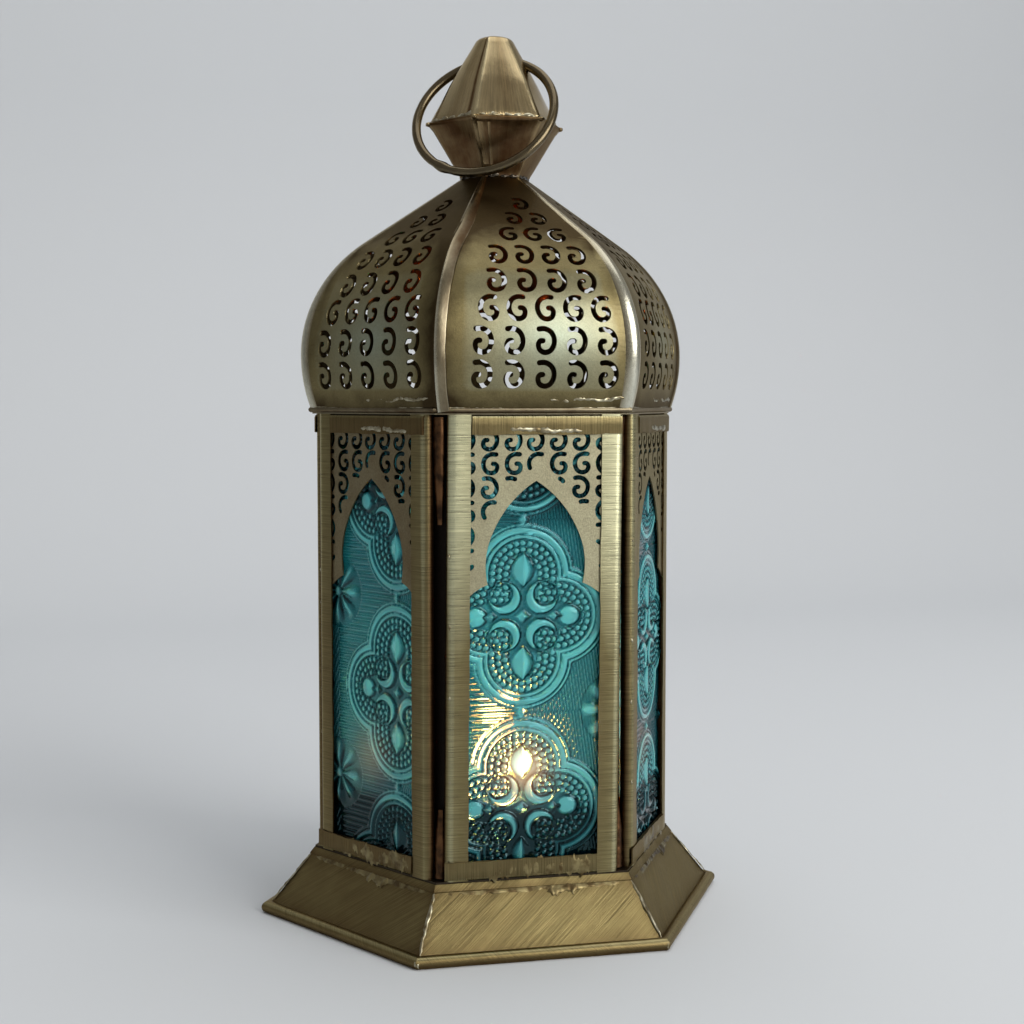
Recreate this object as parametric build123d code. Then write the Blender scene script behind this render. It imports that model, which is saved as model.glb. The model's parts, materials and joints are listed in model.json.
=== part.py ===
from build123d import *
import math
import os

# A six-sided brass lantern with pressed glass panes, a pierced onion dome, a hinged door and a
# carrying ring. Millimetres, +Z up, origin on the table under the centre, front pane facing -Y.

# Six faces and six corners
sides = 6
half_angle = 180 / sides
face_names = ["front", "front_right", "back_right", "back", "back_left", "front_left"]
door_face = face_names.index("back_right")

# Plinth: sloping sheet panels with a rolled lower edge
plinth_height = 21.8
plinth_setback = 0.6
plinth_flare = 14.1
plinth_sheet = 0.8
bead_radius = 2.1
bead_sides = 12
foot_flat = 0.25
floor_thickness = 0.8

# Glazed faces: folded brass channels round a pane and a pierced sheet
frame_apothem = 55.8
frame_height = 148.8
frame_thickness = 4.5
corner_gap = 4.1
stile_width = 7.2
rail_width = 6.3
channel_sheet = 0.6
fold_flats = 5
glass_thickness = 2.6
glazing_fit = 0.1
door_clearance = 0.5

# Pressed glass: a repeat of four-lobed ridges with raised drops in the lobes. Each pane was cut from
# the sheet at another place: its first motif, across from the middle and up from the frame's foot
relief_height = 1.0
motif_pitch = 62.0
motif_places = [(-3.5, 84.3), (2.0, 72.4), (-8.0, 37.4), (12.5, 61.0), (-12.0, 87.4), (11.5, 58.2)]
lobe_rise = 13.8
lobe_spread = 11.4
lobe_radius = 13.7
lobe_flats = 4
ridge_width = 2.8
drop_sides = 4
tall_drop_width = 6.8
tall_drop_height = 10.8
wide_drop_width = 7.2
wide_drop_height = 6.0
heart_width = 5.8

# Fret: pierced sheet with a horseshoe arch
fret_sheet = 0.5
arch_head_drop = 21.0
arch_half_width = 15.9
arch_height = 24.7
haunch_half_width = 13.4
haunch_height = 9.1
crook_half_width = 7.7
crook_drop = 6.6
arch_belly_height = 8.2
arch_waist_depth = 0.6
arch_flare_height = 3.5
flare_hollow_height = 2.1
fret_border = 3.0
fret_rows = 4
fret_columns = 5
fret_pitch = 7.6
fret_first_row = 8.0
fret_scroll_width = 6.0
fret_scroll_height = 7.0
fret_slot = 1.7
fret_scroll_stations = 4
arch_flats = 4

# Every scroll is a hook that turns clockwise from its tail and tightens over its last stretch
scroll_start = 140.0
scroll_sweep = 340.0
scroll_curl = 0.45
scroll_tighten = 0.5
scroll_tail = 0.3
scroll_tip = 0.2

# Solder in the open corners
solder_depth = 3.4
solder_top_length = 34.0
solder_foot_length = 22.0
solder_tip_depth = 1.2

# Dome: six gores, each bent in flats, one flat for each row of scrolls
rim_thickness = 0.8
rim_width = 8.0
dome_setback = 0.7
dome_height = 79.3
dome_bulge = 3.1
bulge_height = 18.8
crown_radius = 48.3
crown_turn = 52.5
neck_apothem = 10.4
gore_sheet = 0.8
first_row = 11.8
row_pitch = 10.5
scroll_pitch = 10.6
scroll_width = 7.2
scroll_height = 9.0
scroll_slot = 2.0
scroll_stations = 5
mirrored_row = 3
gore_margin = 6.0
seam_width = 4.4
seam_height = 0.9

# Finial: two six-sided cones meeting at a lip with a knob on each corner
finial_sheet = 0.9
lower_cone_height = 17.4
throat_flare = 2.0
throat_height = 3.2
lip_radius = 23.7
lip_step = 1.3
lip_height = 1.6
lip_width = 3.0
knob_length = 3.0
knob_width = 1.5
knob_height = 3.0
upper_cone_height = 28.0
upper_cone_foot = 22.2
upper_cone_waist = 16.0
upper_cone_waist_height = 12.9
crown_flat = 5.2
crown_rounding = 1.5

# Carrying ring through two holes in the upper cone
ring_radius = 24.1
ring_wire = 1.55
ring_pivot_height = 20.2
ring_hang = 31.5
ring_bore_fit = 1.4
ring_hole_sides = 10
ring_flats = 24
ring_wire_sides = 6

# Door hinge
pin_radius = 0.8
pin_fit = 0.05
knuckle_wall = 0.9
hinge_proud = 1.0
leaf_thickness = 1.2
barrel_sides = 10
pin_sides = 10
lower_knuckle_length = 46.6
door_knuckle_length = 21.1
upper_knuckle_length = 45.6
door_knuckle_gap = 3.6
knuckle_end_gap = 4.2
lower_knuckle_foot = 0.5

# Turn latch on the free edge of the door
latch_height = 97.0
latch_length = 14.0
latch_width = 3.6
latch_sheet = 0.9
latch_chamfer = 0.9
latch_play = 0.3
stud_radius = 0.9
stud_sides = 8
stud_head_radius = 1.7
stud_head_height = 0.7
lug_height = 8.0
lug_depth = 3.6
lug_overhang = 1.2

# Tea light
cup_radius = 19.2
cup_height = 15.0
cup_wall = 0.5
cup_sides = 16
wax_height = 11.5
wax_fit = 0.1
wick_radius = 0.7
wick_height = 8.0
standing_gap = 0.1

# Levels worked out from the sizes above
floor_top = plinth_height + floor_thickness
frame_top = floor_top + frame_height
rim_top = frame_top + rim_thickness
neck_z = rim_top + dome_height
lip_top = neck_z + lower_cone_height + lip_height
finial_top = lip_top + upper_cone_height + crown_rounding
pivot_z = lip_top + ring_pivot_height

cos30 = math.cos(math.radians(half_angle))
sin30 = math.sin(math.radians(half_angle))
tan30 = math.tan(math.radians(half_angle))

# A rounded post is the folded outer edge of a stile: its centre in a face and about a corner
post_radius = frame_thickness / 2
channel_mid = frame_apothem - post_radius
post_u = channel_mid * tan30 - (corner_gap / 2 + post_radius) / cos30
face_half_width = post_u + post_radius
post_reach = channel_mid * cos30 + post_u * sin30
post_offset = post_radius + corner_gap / 2
stile_inner = face_half_width - stile_width
pane_half_width = post_u - glazing_fit
glass_inner = frame_apothem - frame_thickness + channel_sheet + glazing_fit
glass_outer = glass_inner + glass_thickness
plate_outer = glass_outer - relief_height
plinth_top_apothem = frame_apothem - plinth_setback
dome_rim_apothem = frame_apothem - dome_setback

# Corners are counted from +X: the hinge and the latch stand on either side of the door
hinge_corner = (door_face - 2) % sides
latch_corner = (hinge_corner + 1) % sides
solder_corners = [corner for corner in range(sides) if corner not in (hinge_corner, latch_corner)]

barrel_radius = pin_radius + pin_fit + knuckle_wall
hinge_x = post_reach + post_radius + hinge_proud - barrel_radius

# Sketch plane of a face's section: first axis outwards, second axis up
section_plane = Plane(origin=(0, 0, 0), x_dir=(0, -1, 0), z_dir=(-1, 0, 0))
far = 4 * (plinth_top_apothem + plinth_flare)


def turned(shape, face):
    return shape.rotate(Axis.Z, 2 * half_angle * face)


def polygon_face(points):
    return make_face(Polyline(*points, close=True))


def wedge():
    # The sixth of all space in front of the axis that belongs to the front face
    plan = polygon_face([(0, 0), (-far * sin30, -far * cos30), (far * sin30, -far * cos30)])
    return Pos(0, 0, -far) * extrude(plan, amount=2 * far)


def hex_plan(apothem):
    return RegularPolygon(apothem / cos30, sides)


def closed_solid(loops):
    # Solid with flat faces between successive loops of corners, closed at both ends by a flat cap
    faces = [Face(Wire.make_polygon(loops[0])), Face(Wire.make_polygon(loops[-1]))]
    for low, high in zip(loops, loops[1:]):
        for here in range(len(low)):
            beside = (here + 1) % len(low)
            faces.append(Face(Wire.make_polygon([low[here], low[beside], high[beside], high[here]])))
    return Solid(Shell(faces))


def hex_tower(stations):
    # Six-sided solid through plans given as corner radius and height
    angles = [math.radians(2 * half_angle * corner) for corner in range(sides)]
    return closed_solid([
        [Vector(radius * math.cos(angle), radius * math.sin(angle), z) for angle in angles]
        for radius, z in stations
    ])


def plinth_panel():
    bead_centre = (plinth_top_apothem + plinth_flare, bead_radius - foot_flat)
    slope = math.hypot(plinth_flare, plinth_height - bead_centre[1])
    level_width = plinth_sheet * slope / (plinth_height - bead_centre[1])
    sheet = polygon_face([
        (plinth_top_apothem, plinth_height),
        bead_centre,
        (bead_centre[0] - level_width, bead_centre[1]),
        (plinth_top_apothem - level_width, plinth_height),
    ])
    profile = sheet + Pos(*bead_centre) * RegularPolygon(bead_radius, bead_sides)
    below_table = Pos(bead_centre[0], -far / 2) * Rectangle(far, far)
    return extrude(section_plane * (profile - below_table), amount=far / 2, both=True) & wedge()


def channel_section(width):
    # Folded channel, open towards -X, with the round back of the fold touching X = 0
    turns = [math.pi * (step / fold_flats - 0.5) for step in range(fold_flats + 1)]
    fold = [(post_radius * (math.cos(turn) - 1), post_radius * math.sin(turn)) for turn in turns]
    groove = post_radius - channel_sheet
    return polygon_face([
        (-width, -post_radius), *fold, (-width, post_radius),
        (-width, groove), (-post_radius, groove), (-post_radius, -groove), (-width, -groove),
    ])


def right_stile(foot, height):
    plan = Pos(face_half_width, -channel_mid, foot) * channel_section(stile_width)
    return extrude(plan, amount=height)


def bottom_rail(foot):
    # The fold lies underneath, and the rail butts between the stiles
    plane = Plane(origin=(0, -channel_mid, foot), x_dir=(0, 0, -1), z_dir=(1, 0, 0))
    return extrude(plane * channel_section(rail_width), amount=stile_inner, both=True)


def frame_rails(foot, height):
    low = bottom_rail(foot)
    middle = Plane.XY.offset(foot + height / 2)
    return [low, mirror(low, about=middle)]


def along_arc(start, middle, end, flats):
    # Corners of a run of flats that follows an arc, without its end
    arc = ThreePointArc(start, middle, end)
    return [arc @ (step / flats) for step in range(flats)]


def four_lobes(reach):
    # Outline of four overlapping round lobes of radius reach, meeting at cusps on the diagonals
    apart = math.hypot(lobe_spread, lobe_rise)
    run = math.sqrt(reach ** 2 - (apart / 2) ** 2)
    cusp_u = lobe_spread / 2 + run * lobe_rise / apart
    cusp_v = lobe_rise / 2 + run * lobe_spread / apart
    tip_u, tip_v = lobe_spread + reach, lobe_rise + reach
    cusps = [(cusp_u, cusp_v), (-cusp_u, cusp_v), (-cusp_u, -cusp_v), (cusp_u, -cusp_v)]
    tips = [(0, tip_v), (-tip_u, 0), (0, -tip_v), (tip_u, 0)]
    outline = []
    for lobe, tip in enumerate(tips):
        outline += along_arc(cusps[lobe], tip, cusps[(lobe + 1) % len(cusps)], lobe_flats)
    return outline


def ridge(u, z):
    # A four-lobed ridge with a sharp crest, standing on the outer face of a pane's plate
    stations = [
        (lobe_radius - ridge_width / 2, plate_outer),
        (lobe_radius, glass_outer),
        (lobe_radius + ridge_width / 2, plate_outer),
    ]
    loops = []
    for radius, out in stations:
        loops.append([Vector(u + point.X, -out, z + point.Y) for point in four_lobes(radius)])
    faces = []
    for low, high in zip(loops, loops[1:] + loops[:1]):
        for here in range(len(low)):
            beside = (here + 1) % len(low)
            faces.append(Face(Wire.make_polygon([low[here], low[beside], high[beside]])))
            faces.append(Face(Wire.make_polygon([low[here], high[beside], high[here]])))
    return Solid(Shell(faces))


def drop(u, z, width, height):
    # A cut drop with a point in its middle
    foot = []
    for corner in range(drop_sides):
        turn = 2 * math.pi * corner / drop_sides
        foot.append(Vector(
            u + width / 2 * math.cos(turn), -plate_outer, z + height / 2 * math.sin(turn)))
    tip = Vector(u, -glass_outer, z)
    faces = [Face(Wire.make_polygon(foot))]
    for here in range(drop_sides):
        faces.append(Face(Wire.make_polygon([foot[here], foot[(here + 1) % drop_sides], tip])))
    return Solid(Shell(faces))


def motif(u, z):
    shapes = [ridge(u, z), drop(u, z, heart_width, heart_width)]
    for side in (1, -1):
        shapes.append(drop(u, z + side * lobe_rise, tall_drop_width, tall_drop_height))
        shapes.append(drop(u + side * lobe_spread, z, wide_drop_width, wide_drop_height))
    return shapes


def pane(foot, height, motif_place):
    edge = post_radius + glazing_fit
    middle = foot + height / 2
    plate = Pos(0, -(glass_inner + plate_outer) / 2, middle) * Box(
        2 * pane_half_width, plate_outer - glass_inner, height - 2 * edge)
    # The pattern stops at the channels that hold the pane
    window = Pos(0, -(glass_inner + glass_outer) / 2, middle) * Box(
        2 * stile_inner, glass_thickness, height - 2 * rail_width)
    first_u, first_z = motif_place[0], foot + motif_place[1]
    raised = []
    for column in (-1, 0, 1):
        for row in (-2, -1, 0, 1, 2):
            for shape in motif(first_u + column * motif_pitch, first_z + row * motif_pitch):
                kept = shape & window
                if kept:
                    raised.append(kept)
    return plate + raised


def scroll_outline(width, height, slot, stations):
    # A hook-shaped slot: a pointed tail at the upper left, round the right side and the foot,
    # and curling up into the middle
    outer, inner = [], []
    for step in range(stations):
        along = step / (stations - 1)
        angle = math.radians(scroll_start - scroll_sweep * along)
        shrink = 1 - (1 - scroll_curl) * max(0, along - scroll_tighten) / (1 - scroll_tighten)
        half_slot = slot / 2 * min(1, along / scroll_tail, (1 - along) / scroll_tip)
        for edge, side in ((outer, 1), (inner, -1)):
            reach_u = (width - slot) / 2 * shrink + side * half_slot
            reach_v = (height - slot) / 2 * shrink + side * half_slot
            edge.append((reach_u * math.cos(angle), reach_v * math.sin(angle)))
    return polygon_face(outer + inner[-2:0:-1])


def arch_opening(head, border):
    # Horseshoe arch from its flared foot up to a pointed head, grown from its middle by a border
    belly_z = head - arch_height
    waist_z = belly_z - arch_belly_height
    shoulder_z = waist_z - arch_flare_height
    waist_u = arch_half_width - arch_waist_depth

    def grown(u, z):
        reach = 1 + border / math.hypot(u, z - belly_z)
        return (u * reach, belly_z + (z - belly_z) * reach)

    half = []
    for start, middle, end in (
        ((stile_inner, shoulder_z), ((stile_inner + waist_u) / 2, shoulder_z + flare_hollow_height),
         (waist_u, waist_z)),
        ((waist_u, waist_z), (arch_half_width, belly_z), (haunch_half_width, belly_z + haunch_height)),
        ((haunch_half_width, belly_z + haunch_height), (crook_half_width, head - crook_drop), (0, head)),
    ):
        half += along_arc(grown(*start), grown(*middle), grown(*end), arch_flats)
    half.append(Vector(*grown(0, head)))
    other = [(-point.X, point.Y) for point in half[-2::-1]]
    return polygon_face([(point.X, point.Y) for point in half] + other)


def fret(foot, height):
    top = foot + height - post_radius - glazing_fit
    head = foot + height - arch_head_drop
    bottom = head - arch_height - arch_belly_height - arch_flare_height
    sheet = Pos(0, (top + bottom) / 2) * Rectangle(2 * pane_half_width, top - bottom)
    clear = arch_opening(head, fret_border)
    pattern = []
    for row in range(fret_rows):
        turn = Rot(0, 180, 0) if row % 2 == 1 else Rot(0, 0, 0)
        slot_face = turn * scroll_outline(
            fret_scroll_width, fret_scroll_height, fret_slot, fret_scroll_stations)
        for column in range(fret_columns):
            place = Pos((column - (fret_columns - 1) / 2) * fret_pitch,
                        foot + height - fret_first_row - row * fret_pitch)
            whole = place * slot_face
            if not (whole & clear):
                pattern.append(whole)
    pierced = sheet - arch_opening(head, 0) - pattern
    outwards = Plane(origin=(0, -glass_outer, 0), x_dir=(1, 0, 0), z_dir=(0, -1, 0))
    return extrude(outwards * pierced, amount=fret_sheet)


def dome_bends():
    # Points along a gore's outer face, as apothem and height: the rim, a bend between each two rows
    # of scrolls, and the neck. The curve is a shallow arc up to the bulge, a tighter one over the
    # crown, and a straight run from there to the neck.
    bulge = (dome_rim_apothem + dome_bulge, rim_top + bulge_height)
    foot_radius = (bulge_height ** 2 + dome_bulge ** 2) / (2 * dome_bulge)
    foot_arc = foot_radius * math.asin(bulge_height / foot_radius)
    crown_u = bulge[0] - crown_radius
    crown_end = math.radians(crown_turn)
    crown_arc = crown_radius * crown_end
    crown_head = (
        crown_u + crown_radius * math.cos(crown_end),
        bulge[1] + crown_radius * math.sin(crown_end),
    )
    straight = math.hypot(neck_apothem - crown_head[0], neck_z - crown_head[1])

    def on_curve(length):
        if length < foot_arc:
            angle = (length - foot_arc) / foot_radius
            centre_u, radius = bulge[0] - foot_radius, foot_radius
        elif length < foot_arc + crown_arc:
            angle = (length - foot_arc) / crown_radius
            centre_u, radius = crown_u, crown_radius
        else:
            share = (length - foot_arc - crown_arc) / straight
            return (
                crown_head[0] + share * (neck_apothem - crown_head[0]),
                crown_head[1] + share * (neck_z - crown_head[1]),
            )
        return (centre_u + radius * math.cos(angle), bulge[1] + radius * math.sin(angle))

    total = foot_arc + crown_arc + straight
    lengths = [0]
    next_bend = first_row - row_pitch / 2
    while next_bend < total - row_pitch / 2:
        lengths.append(next_bend)
        next_bend += row_pitch
    lengths.append(total)
    return [on_curve(length) for length in lengths]


def inset(points, depth):
    # The same run of flats a sheet's thickness further in, cut level at both ends
    lines = []
    for (u0, z0), (u1, z1) in zip(points, points[1:]):
        run = math.hypot(u1 - u0, z1 - z0)
        normal = ((z1 - z0) / run, (u0 - u1) / run)
        lines.append((u0 - depth * normal[0], z0 - depth * normal[1], (u1 - u0) / run, (z1 - z0) / run))

    def level(line, z):
        u0, z0, du, dz = line
        return (u0 + du * (z - z0) / dz, z)

    def crossing(first, second):
        u0, z0, du0, dz0 = first
        u1, z1, du1, dz1 = second
        run = ((u1 - u0) * dz1 - (z1 - z0) * du1) / (du0 * dz1 - dz0 * du1)
        return (u0 + run * du0, z0 + run * dz0)

    inner = [level(lines[0], points[0][1])]
    for first, second in zip(lines, lines[1:]):
        straight_on = abs(first[2] * second[3] - first[3] * second[2]) < 1e-9
        inner.append((second[0], second[1]) if straight_on else crossing(first, second))
    inner.append(level(lines[-1], points[-1][1]))
    return inner


def gore():
    bends = dome_bends()
    profile = polygon_face(bends + inset(bends, gore_sheet)[::-1])
    sheet = extrude(section_plane * profile, amount=far / 2, both=True) & wedge()
    slots = []
    for row, ((u0, z0), (u1, z1)) in enumerate(zip(bends[1:-1], bends[2:-1])):
        run = math.hypot(u1 - u0, z1 - z0)
        middle = ((u0 + u1) / 2, (z0 + z1) / 2)
        room = 2 * middle[0] * tan30 - 2 * gore_margin - scroll_width
        count = math.floor(room / scroll_pitch) + 1
        flat = Plane(origin=(0, -middle[0], middle[1]), x_dir=(1, 0, 0),
                     z_dir=(0, -(z1 - z0) / run, (u0 - u1) / run))
        turn = Rot(0, 180, 0) if (row + 1) % mirrored_row == 0 else Rot(0, 0, 0)
        outline = turn * scroll_outline(scroll_width, scroll_height, scroll_slot, scroll_stations)
        for column in range(count):
            place = Pos((column - (count - 1) / 2) * scroll_pitch, 0)
            slots.append(extrude(flat * place * outline, amount=2 * gore_sheet, both=True))
    return sheet - slots


def filled_gore():
    bends = dome_bends()
    profile = polygon_face([(0, rim_top)] + bends + [(0, neck_z)])
    return extrude(section_plane * profile, amount=far / 2, both=True) & wedge()


def dome_seam(filled_left, filled_right):
    # A raised strip over the joint of two gores, on the corner between the front face and the next
    ribs = [(u / cos30, z) for u, z in dome_bends()]
    outer = inset(ribs, -seam_height)
    band = polygon_face(outer + inset(ribs, 2 * seam_height)[::-1])
    corner = Plane(origin=(0, 0, 0), x_dir=(sin30, -cos30, 0), z_dir=(-cos30, -sin30, 0))
    return extrude(corner * band, amount=seam_width / 2, both=True) - filled_left - filled_right


def corner_solder(foot_z, tip_z):
    # A tapering run of solder that just fills the gap between two posts, widest at foot_z; built at
    # corner 0, on +X
    along = Plane(origin=(0, 0, 0), x_dir=(1, 0, 0), z_dir=(0, -1, 0))
    back = post_reach - solder_depth / 2
    profile = polygon_face([
        (back, foot_z), (back + solder_depth, foot_z), (back + solder_tip_depth, tip_z), (back, tip_z),
    ])
    return extrude(along * profile, amount=corner_gap / 2, both=True)


def finial_lower():
    throat = neck_apothem / cos30
    lip_foot = neck_z + lower_cone_height
    cone = hex_tower([
        (throat, neck_z),
        (throat + throat_flare, neck_z + throat_height),
        (lip_radius - lip_step, lip_foot),
        (lip_radius, lip_foot + lip_height / 2),
        (lip_radius, lip_top),
    ])
    mouth = lip_radius - lip_width
    hollow = hex_tower([
        (throat - finial_sheet, neck_z),
        (throat + throat_flare - finial_sheet, neck_z + throat_height),
        (mouth, lip_foot),
        (mouth, lip_top),
    ])
    body = cone - hollow
    for corner in range(sides):
        angle = math.radians(2 * half_angle * corner)
        place = Pos(lip_radius * math.cos(angle), lip_radius * math.sin(angle), lip_top - knob_height / 2)
        body += place * Rot(0, 0, 2 * half_angle * corner) * Box(knob_length, knob_width, knob_height)
    return body


def upper_stations(inwards, foot_z, head_drop):
    waist_z = lip_top + upper_cone_waist_height
    head_z = finial_top - crown_rounding - head_drop
    return [
        (upper_cone_foot - inwards, foot_z),
        (upper_cone_waist - inwards, waist_z),
        (crown_flat + crown_rounding - inwards, head_z),
    ]


def finial_upper():
    outer = hex_tower(upper_stations(0, lip_top, 0) + [(crown_flat, finial_top)])
    inner = hex_tower(upper_stations(finial_sheet / cos30, lip_top, finial_sheet))
    hole = RegularPolygon(ring_wire + ring_bore_fit, ring_hole_sides, major_radius=False)
    across = Pos(0, 0, pivot_z) * Rot(0, 0, 180 - half_angle) * Rot(0, 90, 0)
    return outer - inner - extrude(across * hole, amount=upper_cone_foot, both=True)


def cone_apothem_at(z):
    # Apothem of the upper cone's outer face above its waist
    (waist_r, waist_z), (head_r, head_z) = upper_stations(0, lip_top, 0)[1:]
    return cos30 * (waist_r + (head_r - waist_r) * (z - waist_z) / (head_z - waist_z))


def carrying_ring():
    # The wire crosses the cone's wall on the pivot line, and the ring leans out on the front-left
    # corner until it lies on the two knobs beside that corner
    half_chord = cone_apothem_at(pivot_z)
    drop = math.sqrt(ring_radius ** 2 - half_chord ** 2)
    lean = math.radians(ring_hang)
    across = Vector(math.cos(math.radians(-half_angle)), math.sin(math.radians(-half_angle)), 0)
    outwards = Vector(-sin30, -cos30, 0)
    down = outwards * math.sin(lean) + Vector(0, 0, -math.cos(lean))
    normal = across.cross(down)
    centre = Vector(0, 0, pivot_z) + down * drop
    flat_scale = 1 / math.cos(math.pi / ring_flats)
    rings = []
    for step in range(ring_flats):
        angle = 2 * math.pi * step / ring_flats
        radial = across * math.cos(angle) + down * math.sin(angle)
        section = []
        for side in range(ring_wire_sides):
            turn = 2 * math.pi * (side + 0.5) / ring_wire_sides
            reach = (ring_radius + ring_wire * math.cos(turn)) * flat_scale
            section.append(centre + radial * reach + normal * (ring_wire * math.sin(turn)))
        rings.append(section)
    faces = []
    for step in range(ring_flats):
        here, following = rings[step], rings[(step + 1) % ring_flats]
        for side in range(ring_wire_sides):
            beside = (side + 1) % ring_wire_sides
            corners = [here[side], here[beside], following[beside], following[side]]
            faces.append(Face(Wire.make_polygon(corners)))
    return Solid(Shell(faces))


def knuckle(foot, length, side):
    # A barrel with a leaf soldered to the post on one side of the hinge corner
    to_post = Vector(post_reach - hinge_x, side * post_offset)
    leaf_turn = math.degrees(math.atan2(to_post.Y, to_post.X))
    leaf_length = to_post.length - post_radius
    plan = RegularPolygon(barrel_radius, barrel_sides)
    plan += Rot(0, 0, leaf_turn) * Pos(leaf_length / 2, 0) * Rectangle(leaf_length, leaf_thickness)
    plan -= RegularPolygon(pin_radius + pin_fit, pin_sides, major_radius=False)
    return extrude(Pos(hinge_x, 0, foot) * plan, amount=length)


def hinge():
    lower_foot = floor_top + lower_knuckle_foot
    door_foot = lower_foot + lower_knuckle_length + door_knuckle_gap
    upper_foot = frame_top - knuckle_end_gap - upper_knuckle_length
    pin_length = upper_foot + upper_knuckle_length - lower_foot
    pin = extrude(Pos(hinge_x, 0, lower_foot) * RegularPolygon(pin_radius, pin_sides), amount=pin_length)
    pieces = {
        "hinge_knuckle_lower": knuckle(lower_foot, lower_knuckle_length, -1),
        "hinge_knuckle_door": knuckle(door_foot, door_knuckle_length, 1),
        "hinge_knuckle_upper": knuckle(upper_foot, upper_knuckle_length, -1),
        "hinge_pin": pin,
    }
    return {name: turned(piece, hinge_corner) for name, piece in pieces.items()}


def latch():
    # Built at corner 0 with the fixed post on +Y, then turned to the door's free edge
    lug_face = post_reach + post_radius
    button_back = lug_face + latch_play
    outwards = Plane(origin=(0, 0, latch_height), x_dir=(0, 1, 0), z_dir=(1, 0, 0))
    lug_width = corner_gap / 2 + lug_overhang
    lug_plan = Pos(lug_width / 2 - lug_overhang, 0) * Rectangle(lug_width, lug_height)
    lug = extrude(outwards.offset(lug_face - lug_depth) * lug_plan, amount=lug_depth)
    stud_hole = extrude(outwards * RegularPolygon(stud_radius, stud_sides), amount=far)
    lug = lug - stud_hole
    # The button hangs from its upper end
    hang = (latch_length - latch_width) / 2
    button_plan = Pos(0, -hang) * Rectangle(latch_width, latch_length)
    button_plan = chamfer(button_plan.vertices(), latch_chamfer)
    button_plan -= RegularPolygon(stud_radius + pin_fit, stud_sides, major_radius=False)
    button = extrude(outwards.offset(button_back) * button_plan, amount=latch_sheet)
    head_back = button_back + latch_sheet + latch_play
    shank = extrude(outwards.offset(lug_face - lug_depth) * RegularPolygon(stud_radius, stud_sides),
                    amount=head_back - lug_face + lug_depth)
    head = extrude(outwards.offset(head_back) * RegularPolygon(stud_head_radius, stud_sides),
                   amount=stud_head_height)
    pieces = {"latch_button": button, "latch_lug": lug, "latch_stud": shank + head}
    return {name: turned(piece, latch_corner) for name, piece in pieces.items()}


def tea_light():
    foot = floor_top + standing_gap
    cup = Pos(0, 0, foot) * extrude(RegularPolygon(cup_radius, cup_sides), amount=cup_height)
    wax_foot = foot + cup_wall
    inside = RegularPolygon(cup_radius - cup_wall, cup_sides)
    cup -= Pos(0, 0, wax_foot) * extrude(inside, amount=cup_height)
    wax_plan = RegularPolygon(cup_radius - cup_wall - wax_fit, cup_sides)
    wax = Pos(0, 0, wax_foot) * extrude(wax_plan, amount=wax_height)
    wick_plan = RegularPolygon(wick_radius, sides)
    wick = Pos(0, 0, wax_foot + wax_height) * extrude(wick_plan, amount=wick_height)
    return {"tea_light_cup": cup, "tea_light_wax": wax, "tea_light_wick": wick}


nodes = {}

panel = plinth_panel()
gore_sheet_solid = gore()
filled = filled_gore()
for face, name in enumerate(face_names):
    nodes["plinth_" + name] = turned(panel, face)
    nodes["gore_" + name] = turned(gore_sheet_solid, face)
floor_sheet = extrude(hex_plan(plinth_top_apothem), amount=floor_thickness)
nodes["floor_plate"] = Pos(0, 0, plinth_height) * floor_sheet
rim_plan = hex_plan(dome_rim_apothem) - hex_plan(dome_rim_apothem - rim_width)
nodes["dome_rim"] = Pos(0, 0, frame_top) * extrude(rim_plan, amount=rim_thickness)
seam = dome_seam(filled, turned(filled, 1))
nodes["dome_seams"] = Compound(children=[turned(seam, face) for face in range(sides)])

for face, name in enumerate(face_names):
    is_door = face == door_face
    foot = floor_top + (door_clearance if is_door else 0)
    height = frame_height - (2 * door_clearance if is_door else 0)
    title = "door" if is_door else name
    stile = right_stile(foot, height)
    nodes[title + "_stile_right"] = turned(stile, face)
    nodes[title + "_stile_left"] = turned(mirror(stile, about=Plane.YZ), face)
    nodes[title + "_rails"] = Compound(children=[turned(rail, face) for rail in frame_rails(foot, height)])
    nodes[title + "_glass"] = turned(pane(foot, height, motif_places[face]), face)
    nodes[title + "_fret"] = turned(fret(foot, height), face)

foot_run = corner_solder(floor_top, floor_top + solder_foot_length)
top_run = corner_solder(frame_top, frame_top - solder_top_length)
nodes["corner_solder"] = Compound(children=[
    turned(run, corner) for corner in solder_corners for run in (foot_run, top_run)
])

nodes["finial_lower"] = finial_lower()
nodes["finial_upper"] = finial_upper()
nodes["carrying_ring"] = carrying_ring()
nodes.update(hinge())
nodes.update(latch())
nodes.update(tea_light())

os.makedirs("parts", exist_ok=True)
for name, shape in nodes.items():
    export_step(shape, os.path.join("parts", name + ".step"))
print(len(nodes), "nodes, overall height", round(finial_top, 1))
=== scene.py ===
import json
import random
from math import asin, atan2, cos, degrees, dist, exp, hypot, pi, radians, sin, sqrt, tan

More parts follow.
